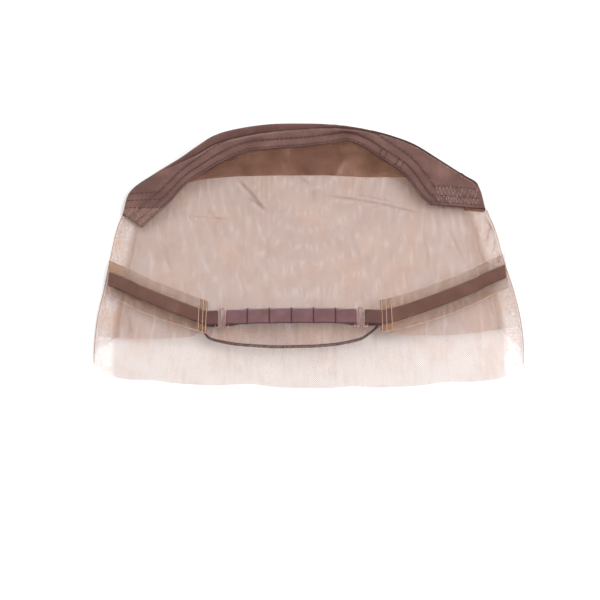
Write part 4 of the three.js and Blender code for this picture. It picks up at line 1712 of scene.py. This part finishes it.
        def fold(hand: float, share: float, t: float) -> Vector:
            """Point of a side fold.

            Args:
                hand: -1 on the left and 1 on the right.
                share: Share across, from 0 to 1.
                t: Share of the way, from 0 to 1.

            Returns:
                Point in metres.
            """
            turn = math.pi * (0.5 - share)
            out = shape.fold_radius * math.cos(turn)
            edge = self.ground_reach(hand, self.near_hem(hand * shape.half_width)) + out
            seam_at = self.near_hem if share < 0.5 else self.far_seam
            low = mix(mix(flap_low(hand), corner_low(hand), 0.5), corner_low(hand), share)
            y = mix(low, seam_at(hand * edge) - shape.seam_gap, t)
            x = hand * (self.ground_reach(hand, y) + out)
            return Vector((x, y, net_half + shape.fold_radius * (1 + math.sin(turn))))

        def place(i: int, j: int) -> Vector:
            """Point of the front net.

            Args:
                i: Column of the grid.
                j: Row of the grid.

            Returns:
                Point in metres.
            """
            kind, value, hand = columns[i]
            t = j / self.front_rows
            if kind == "ground":
                return ground(value, t)
            return flap(hand, value, t) if kind == "flap" else fold(hand, value, t)

        return ClothGrid(len(columns) - 1, self.front_rows, place)

    def overlock(self, grid: ClothGrid) -> list[list[Vector]]:
        """Zigzag thread and its two edge threads along the nape.

        Args:
            grid: Points of the cloth.

        Returns:
            Runs of points, one for each thread.
        """
        edge = []
        for i in range(grid.columns + 1):
            share = mix(-1, 1, i / grid.columns)
            if self.overlock_from <= share <= self.overlock_to:
                edge.append((grid.points[i][0], grid.points[i][1]))
        zigzag, outer, inner = [], [], []
        zigzag_up, outer_up, inner_up = (Vector((0, 0, lift)) for lift in self.overlock_lifts)
        mark = 0.0
        for (before, _), (low, next_up) in zip(edge, edge[1:]):
            inward = (next_up - low).normalized()
            steps = max(1, math.ceil((low - before).length / (self.overlock_pitch / 4)))
            for k in range(steps):
                spot = before.lerp(low, k / steps)
                travelled = mark + (low - before).length * k / steps
                swing = abs((travelled / self.overlock_pitch) % 1 * 2 - 1)
                zigzag.append(spot + inward * self.overlock_width * swing + zigzag_up)
            mark += (low - before).length
            outer.append(low + outer_up)
            inner.append(low + inward * self.overlock_width + inner_up)
        return [zigzag, outer, inner]

    def marks(self, grid: ClothGrid, lines: Sequence[Mark]) -> None:
        """Sets where the net is sparse, dense or creased.

        Args:
            grid: Points of the cloth.
            lines: Lines where the net is creased.
        """
        shape = self.shape

        def inward(i: int, j: int) -> float:
            """Distance of a point from the folded side."""
            x, y, _ = grid.points[i][j]
            return shape.side_at(x, y) - abs(x)

        def crease(i: int, j: int) -> float:
            """Strength of the crease lines at a point."""
            x, y, _ = grid.points[i][j]
            return clamp01(sum(mark.at(x / shape.half_width, y / shape.half_depth) for mark in lines))

        grid.values["sparse"] = lambda i, j: smooth((self.strip - inward(i, j)) / self.strip_ease)
        grid.values["dense"] = lambda i, j: smooth((self.fold_dense - inward(i, j)) / MM)
        grid.values["crease"] = crease

    def build(self) -> None:
        """Builds both nets and the overlocked nape."""
        back = self.back_grid()
        self.marks(back, NET_LINES)
        piece = add_piece(back.mesh("back_net"), "back_net", Finish.NET, ["back_lace"])
        thicken(piece, self.wall)
        front = self.front_grid()
        self.marks(front, ())
        piece = add_piece(front.mesh("front_net"), "front_net", Finish.NET, ["front_lace"])
        thicken(piece, self.wall)
        overlock = tubes("nape_overlock", self.overlock(back), self.overlock_thread)
        add_piece(overlock, "nape_overlock", Finish.DARK_THREAD)


class Side(Enum):
    """The two ends of the nape strap: hand, place along of the side seam, bend, and elastic in view."""

    LEFT = ("left", -1, -0.195, 1.05, 7.6 * MM)
    RIGHT = ("right", 1, -0.135, 1.22, 11 * MM)

    def __init__(self, label: str, hand: int, seam_along: float, bend: float, stub: float) -> None:
        """Names the fields of the value.

        Args:
            label: Name of the side.
            hand: -1 on the left and 1 on the right.
            seam_along: Place along of the side seam, as a share.
            bend: Power of the elastic's bend.
            stub: Length of elastic in view beside the hook.
        """
        self.label = label
        self.hand = hand
        self.seam_along = seam_along
        self.bend = bend
        self.stub = stub


@dataclass
class NapeStrap:
    """Nape strap: an elastic in a casing on each side, two hooks and a slotted strap."""

    shape: CapShape
    across: float = -0.082
    along: float = -0.558
    width: float = 12.4 * MM
    wall: float = 1.0 * MM
    pitch: float = 14.75 * MM
    cells: int = 6
    puff: float = 2.9 * MM
    tape: float = 0.85 * MM
    tape_trim: float = 0.3 * MM
    wire: float = 1.1 * MM
    wire_spacing: float = 2.8 * MM
    wire_overhang: float = 0.5 * MM
    level_reach: float = 6.6 * MM
    casing_width: float = 32 * MM
    casing_wall: float = 0.08 * MM
    casing_columns: int = 60
    casing_rows: int = 56
    shoulder_gap: float = 1.2 * MM
    casing_gap: float = 0.35 * MM
    flange: float = 1.1 * MM
    bed_gap: float = 0.55 * MM
    casing_ruck: float = 0.18 * MM
    casing_hem: float = 0.085
    hem_dense: float = 0.45
    patch_from: float = 0.84
    patch_share: float = 0.42
    patch_crease: float = 0.8
    cross_threads: tuple[float, ...] = (0.012, 0.045, 0.085)
    tan_thread: float = 0.2 * MM
    tan_thread_lift: float = 0.25 * MM
    under_shift: float = 1.7 * MM
    turn_steps: int = 10
    tape_steps: int = 8
    wire_clearance: float = 0.15 * MM
    bar_offset: float = 0.25 * MM
    bar_lift: float = 0.12 * MM
    bar_radius: float = 0.26 * MM
    tail_reach: float = 5 * MM
    tail_gap: float = 0.1 * MM
    settle_reach: float = 8 * MM

    @property
    def middle_x(self) -> float:
        """Place across of the slotted strap's middle."""
        return self.across * self.shape.half_width

    @property
    def line_y(self) -> float:
        """Place along of the slotted strap."""
        return self.along * self.shape.half_depth

    @property
    def loop_thickness(self) -> float:
        """Thickness of a loop round the hook's wire."""
        return 2 * self.wall + self.wire + 2 * self.shape.gap

    @property
    def rise(self) -> float:
        """Height of the strap's middle over the net under it."""
        return self.shape.gap + self.loop_thickness / 2

    @property
    def hook_reach(self) -> float:
        """Distance from a hook's middle to the end of a loop."""
        return self.wire_spacing / 2 + self.wire / 2 + self.shape.gap

    @property
    def wire_set_in(self) -> float:
        """Distance from the end of a loop to the wire in it."""
        return 1.5 * self.wire_spacing - self.hook_reach

    @property
    def turn_radius(self) -> float:
        """Radius of the tape's middle round the wire."""
        return self.wire / 2 + self.tape / 2 + self.wire_clearance

    def hook_x(self, side: Side) -> float:
        """Place across of a hook."""
        return self.middle_x + side.hand * (self.pitch * self.cells / 2 + self.hook_reach)

    def strap_z(self, x: float) -> float:
        """Height of the strap's middle."""
        return self.shape.lapped_top(x, self.line_y) + self.rise

    def start_x(self, side: Side) -> float:
        """Place across of the elastic's looped end."""
        return self.hook_x(side) + side.hand * self.hook_reach

    def casing_x(self, side: Side) -> float:
        """Place across of the casing's inner end."""
        return self.start_x(side) + side.hand * side.stub

    def end_x(self, side: Side) -> float:
        """Place across where elastic and casing are sewn into the side."""
        seam_y = side.seam_along * self.shape.half_depth
        return side.hand * (self.shape.side_at(side.hand, seam_y) - self.shape.edge_inset)

    def centre_y(self, side: Side, x: float) -> float:
        """Place along of an elastic's middle.

        Args:
            side: Side of the cap.
            x: Place across.

        Returns:
            Place along.
        """
        start = self.casing_x(side)
        share = clamp01((x - start) / (self.end_x(side) - start))
        return mix(self.line_y, side.seam_along * self.shape.half_depth, share ** side.bend)

    def bed_at(self, side: Side, x: float, w: float) -> float:
        """Height of the net's top under an elastic, at a distance w from its middle.

        Args:
            side: Side of the cap.
            x: Place across.
            w: Distance across from the tape's middle.

        Returns:
            Height in metres.
        """
        centre, reach = self.centre_y(side, x), self.width / 2
        above = self.shape.lapped_top(x, centre + reach)
        below = self.shape.lapped_top(x, centre - reach)
        middle = max(self.shape.lapped_top(x, centre), (above + below) / 2)
        sloping = middle + (above - below) / self.width * w
        level = smooth(side.hand * (x - self.casing_x(side)) / self.level_reach)
        return mix(self.shape.lapped_top(x, self.line_y), sloping, level)

    def ribbon(
        self, name: str, path: Sequence[tuple[float, float, float]], place: Callable[..., Vector],
        closed: bool, finish: Finish, nodes: Sequence[str],
    ) -> None:
        """Builds a tape along a path.

        Args:
            name: Name of the piece.
            path: Places along, heights and shifts across of the tape's middle.
            place: Point for a place along, a distance across and a height.
            closed: Whether the path meets itself.
            finish: Finish of the tape.
            nodes: Solids that the tape stands for.
        """
        def spot(i: int, j: int) -> Vector:
            """Point of the tape.

            Args:
                i: Column of the grid.
                j: Row of the grid.

            Returns:
                Point in metres.
            """
            along, height, shift = path[i]
            half = self.width / 2 - self.tape_trim
            return place(along, mix(-half, half, j / self.tape_steps) + shift, height)

        grid = ClothGrid(len(path) - 1, self.tape_steps, spot)
        piece = add_piece(grid.mesh(name, close_rows=closed), name, finish, nodes)
        thicken(piece, self.tape)

    def strap_path(self) -> list[tuple[float, float, float]]:
        """Path of the slotted strap's tape: over its top, round a hook, and back under it.

        Returns:
            Places along, heights and shifts across.
        """
        length = self.pitch * self.cells
        radius = self.turn_radius
        low = self.tape / 2 + 0.02 * MM
        high = self.puff / 2 - self.tape / 2
        steps_in_cell = 16

        def height(s: float) -> float:
            """Height of the upper tape at a place along.

            Args:
                s: Place along the strap.

            Returns:
                Height in metres.
            """
            from_end = min(s, length - s)
            in_cell = (s % self.pitch) / self.pitch
            puffed = mix(low, high, max(0.0, math.sin(math.pi * in_cell)) ** 0.6)
            if from_end >= self.pitch:
                return puffed
            ease = smooth((from_end - self.wire_set_in) / (self.pitch - self.wire_set_in))
            return mix(radius, low, ease)

        top = []
        count = self.cells * steps_in_cell
        for k in range(count + 1):
            s = mix(self.wire_set_in, length - self.wire_set_in, k / count)
            top.append((s, height(s), 0.0))
        bottom = []
        for s, h, _ in reversed(top):
            from_end = min(s, length - s)
            bottom.append((s, -h, self.under_shift * smooth((from_end - self.wire_set_in) / self.pitch)))
        turns = []
        for centre, sign in ((length - self.wire_set_in, 1), (self.wire_set_in, -1)):
            turn = []
            for k in range(1, self.turn_steps):
                angle = math.pi * (0.5 - k / self.turn_steps)
                turn.append((centre + sign * radius * math.cos(angle), sign * radius * math.sin(angle), 0.0))
            turns.append(turn)
        return [*top, *turns[0], *bottom, *turns[1], top[0]]

    def build_strap(self) -> None:
        """Builds the slotted strap and the dark bars that part its loops."""
        start = self.middle_x - self.pitch * self.cells / 2

        def place(s: float, w: float, height: float) -> Vector:
            """Point of the strap."""
            x = start + s
            return Vector((x, self.line_y + w, self.strap_z(x) + height))

        path = self.strap_path()
        self.ribbon("strap_loops", path, place, True, Finish.STRAP, ["slotted_strap"])
        runs = []
        half = self.width / 2 - self.tape_trim
        for cell in range(1, self.cells):
            s = cell * self.pitch
            for offset in (-self.bar_offset, self.bar_offset):
                points = []
                for k in range(13):
                    w = mix(-half - 0.2 * MM, half + self.under_shift, k / 12)
                    drop = smooth((w - half) / (0.8 * MM)) * self.tape
                    points.append(place(s + offset, w, self.tape + self.bar_lift - drop))
                runs.append(points)
        add_piece(tubes("strap_bars", runs, self.bar_radius), "strap_bars", Finish.DARK_THREAD)

    def build_hook(self, side: Side) -> None:
        """Builds one hook: a bent wire with two bars in view and an end in each loop.

        Args:
            side: Side of the cap.
        """
        half = self.width / 2
        low, high = -half - self.wire_overhang, half + self.wire_overhang
        legs = [share * self.wire_spacing for share in (-1.5, -0.5, 0.5, 1.5)]
        points = [(legs[0], half - self.wire_spacing)]
        for leg, (y, way) in enumerate(((low, -1), (high, 1), (low, -1))):
            centre = (legs[leg] + legs[leg + 1]) / 2
            for k in range(self.turn_steps + 1):
                angle = math.pi * (1 - k / self.turn_steps) * way
                points.append((
                    centre + self.wire_spacing / 2 * math.cos(angle),
                    y + self.wire_spacing / 2 * math.sin(angle),
                ))
        points.append((legs[3], half - self.wire_spacing))
        centre_x = self.hook_x(side)
        run = [Vector((centre_x + x, self.line_y + y, self.strap_z(centre_x + x))) for x, y in points]
        name = f"hook_wire_{side.label}"
        add_piece(tubes(name, [run], self.wire / 2, 3), name, Finish.HOOK, [f"hook_{side.label}"])

    def build_elastic(self, side: Side) -> None:
        """Builds one elastic: a loop at the hook and a flat run to the side seam.

        Args:
            side: Side of the cap.
        """
        start, hand = self.start_x(side), side.hand
        length = abs(self.end_x(side) - start)
        radius, set_in = self.turn_radius, self.wire_set_in
        tail = side.stub + self.tail_reach

        def place(s: float, w: float, height: float) -> Vector:
            """Point of the elastic."""
            x = start + hand * s
            return Vector((x, self.centre_y(side, x) + w, self.bed_at(side, x, w) + self.rise + height))

        path = []
        for k in range(13):
            s = mix(tail, set_in, k / 12)
            ease = smooth((s - set_in) / (tail - set_in))
            path.append((s, -mix(radius, self.tape / 2 + self.tail_gap, ease), 0.0))
        for k in range(1, self.turn_steps):
            angle = math.pi * (-0.5 - k / self.turn_steps)
            path.append((set_in + radius * math.cos(angle), radius * math.sin(angle), 0.0))
        count = 70
        for k in range(count + 1):
            s = mix(set_in, length - self.wall, k / count)
            over_tail = mix(radius, self.tape / 2 + self.tail_gap, smooth((s - set_in) / (tail - set_in)))
            settle = smooth((s - tail) / self.settle_reach)
            path.append((s, mix(over_tail, 0.0, settle), 0.0))
        name = f"elastic_tape_{side.label}"
        self.ribbon(name, path, place, False, Finish.ELASTIC, [f"elastic_{side.label}"])

    def build_casing(self, side: Side) -> None:
        """Builds one casing: a net sleeve round the elastic, with its hem stitches and pale edge threads
        that paint a highlight.

        Args:
            side: Side of the cap.
        """
        shape = self.shape
        inner, outer = self.casing_x(side), self.end_x(side)
        above = KnotCurve([(row.along, row.above) for row in CASING_ROWS])
        below = KnotCurve([(row.along, row.below) for row in CASING_ROWS])
        shoulder = self.width / 2 + self.shoulder_gap
        over_tape = self.rise + self.tape / 2 + self.casing_gap
        flange, bed_gap = self.flange, self.bed_gap

        def spot(t: float, share: float, top: bool) -> Vector:
            """Point of the sleeve at a share of its length and of its half width.

            Args:
                t: Share of the way, from 0 to 1.
                share: Share across, from 0 to 1.
                top: Whether it is the upper net.

            Returns:
                Point in metres.
            """
            x = mix(inner, outer, t)
            reach = self.casing_width * (above if share > 0 else below)(t)
            w = share * reach
            beyond = clamp01((abs(w) - shoulder) / max(reach - shoulder, 0.1 * MM))
            y = self.centre_y(side, x) + w
            bed = self.bed_at(side, x, w)
            base = mix(bed, max(shape.lapped_top(x, y), bed - shape.net_wall), smooth(beyond))
            swell = smooth((shoulder - abs(w)) / (2.4 * MM) + 0.5)
            ruck = self.casing_ruck * noise.noise(Vector((x / (5 * MM), y / (9 * MM), 7.5)))
            height = mix(flange, over_tape, swell) + ruck if top else bed_gap
            return Vector((x, y, base + height))

        def place(i: int, j: int) -> Vector:
            """Point round the sleeve: over its top and back under it.

            Args:
                i: Column of the grid.
                j: Row of the grid.

            Returns:
                Point in metres.
            """
            turn = j / self.casing_rows * 2
            share = mix(1, -1, turn) if turn <= 1 else mix(-1, 1, turn - 1)
            edge = abs(share) == 1
            point = spot(i / self.casing_columns, share, turn <= 1)
            if edge:
                point.z -= (flange - bed_gap) / 2
            return point

        grid = ClothGrid(self.casing_columns, self.casing_rows, place)
        for column in grid.points:
            column[-1] = column[0]

        def dense(i: int, j: int) -> float:
            """Doubled net of the inner hem."""
            return self.hem_dense if i / self.casing_columns < self.casing_hem else 0.0

        def crease(i: int, j: int) -> float:
            """Golden patch at the outer upper corner of the left casing.

            Args:
                i: Column of the grid.
                j: Row of the grid.

            Returns:
                Share from 0 to 1.
            """
            turn = j / self.casing_rows * 2
            share = 1 - 2 * turn if turn <= 1 else 2 * turn - 3
            outer_end = i / self.casing_columns > self.patch_from
            return self.patch_crease if side is Side.LEFT and outer_end and share > self.patch_share else 0.0

        grid.values.update(dense=dense, crease=crease)
        name = f"casing_net_{side.label}"
        piece = add_piece(grid.mesh(name, close_rows=True), name, Finish.CASING, [f"casing_{side.label}"])
        thicken(piece, self.casing_wall)
        2 * self.casing_width
        abs(outer - inner)
        runs = []
        lift = Vector((0, 0, self.tan_thread_lift))
        # The edge threads are pale lines that paint the highlight of the sleeve's folded edges; the cross
        # threads stitch its inner hem.
        for share in (-0.985, 0.985):
            runs.append([spot(t / 60, share, True) + lift for t in range(61)])
        for t in self.cross_threads:
            runs.append([spot(t, mix(-0.98, 0.98, k / 30), True) + lift for k in range(31)])
        threads = f"casing_stitches_and_edge_highlights_{side.label}"
        add_piece(tubes(threads, runs, self.tan_thread), threads, Finish.TAN_THREAD)

    def build(self) -> None:
        """Builds the whole strap."""
        self.build_strap()
        for side in Side:
            self.build_hook(side)
            self.build_elastic(side)
            self.build_casing(side)


# Floor, light and camera


@dataclass
class Studio:
    """White floor, soft light and the camera."""

    look_at: Vector
    world_strength: float = 0.78
    layers_seen_through: int = 32
    sensor: float = 36
    elevation: float = 52
    distance: float = 1142 * MM
    lens: float = 100
    floor_size: float = 6.0

    def build_camera(self) -> None:
        """Places the camera in front of the cap and above it."""
        tilt = math.radians(self.elevation)
        back = Vector((0, -math.cos(tilt), math.sin(tilt)))
        data = bpy.data.cameras.new("camera")
        data.lens = self.lens
        data.sensor_width = self.sensor
        data.clip_start, data.clip_end = 0.01, 20
        camera = bpy.data.objects.new("camera", data)
        camera.location = self.look_at + back * self.distance
        camera.rotation_euler = (-back).to_track_quat("-Z", "Y").to_euler()
        bpy.context.scene.collection.objects.link(camera)
        bpy.context.scene.camera = camera

    def build_light(self, lamp: Lamp) -> None:
        """Adds a soft square light that faces the cap.

        Args:
            lamp: Its name, place, size and power.
        """
        data = bpy.data.lights.new(lamp.name, "AREA")
        data.shape = "SQUARE"
        data.size = lamp.size
        data.energy = lamp.power
        light = bpy.data.objects.new(lamp.name, data)
        light.location = lamp.place
        light.rotation_euler = (self.look_at - light.location).to_track_quat("-Z", "Y").to_euler()
        bpy.context.scene.collection.objects.link(light)

    def build_floor(self) -> None:
        """Adds the white floor."""
        shape = bmesh.new()
        bmesh.ops.create_grid(shape, x_segments=1, y_segments=1, size=self.floor_size / 2)
        mesh = bpy.data.meshes.new("white_floor")
        shape.to_mesh(mesh)
        shape.free()
        mesh.materials.append(FloorFinish().material())
        floor = bpy.data.objects.new("white_floor", mesh)
        bpy.context.scene.collection.objects.link(floor)
        floor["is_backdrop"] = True

    def build(self) -> None:
        """Builds floor, lights, world and camera."""
        scene = bpy.context.scene
        scene.view_settings.view_transform = "Standard"
        scene.cycles.transparent_max_bounces = self.layers_seen_through
        world = bpy.data.worlds.new("studio")
        world.use_nodes = True
        sky = world.node_tree.nodes["Background"].inputs
        sky["Color"].default_value = (1, 1, 1, 1)
        sky["Strength"].default_value = self.world_strength
        scene.world = world
        self.build_floor()
        for lamp in LAMPS:
            self.build_light(lamp)
        self.build_camera()


def main() -> None:
    """Builds the cap, piece by piece."""
    logging.basicConfig(level=logging.INFO)
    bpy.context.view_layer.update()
    shape = CapShape.from_frame()
    Studio(Vector(LOOK_AT)).build()
    NetBody(shape).build()
    CrownPanel(shape).build()
    NapeStrap(shape).build()


if __name__ == "__main__":
    main()
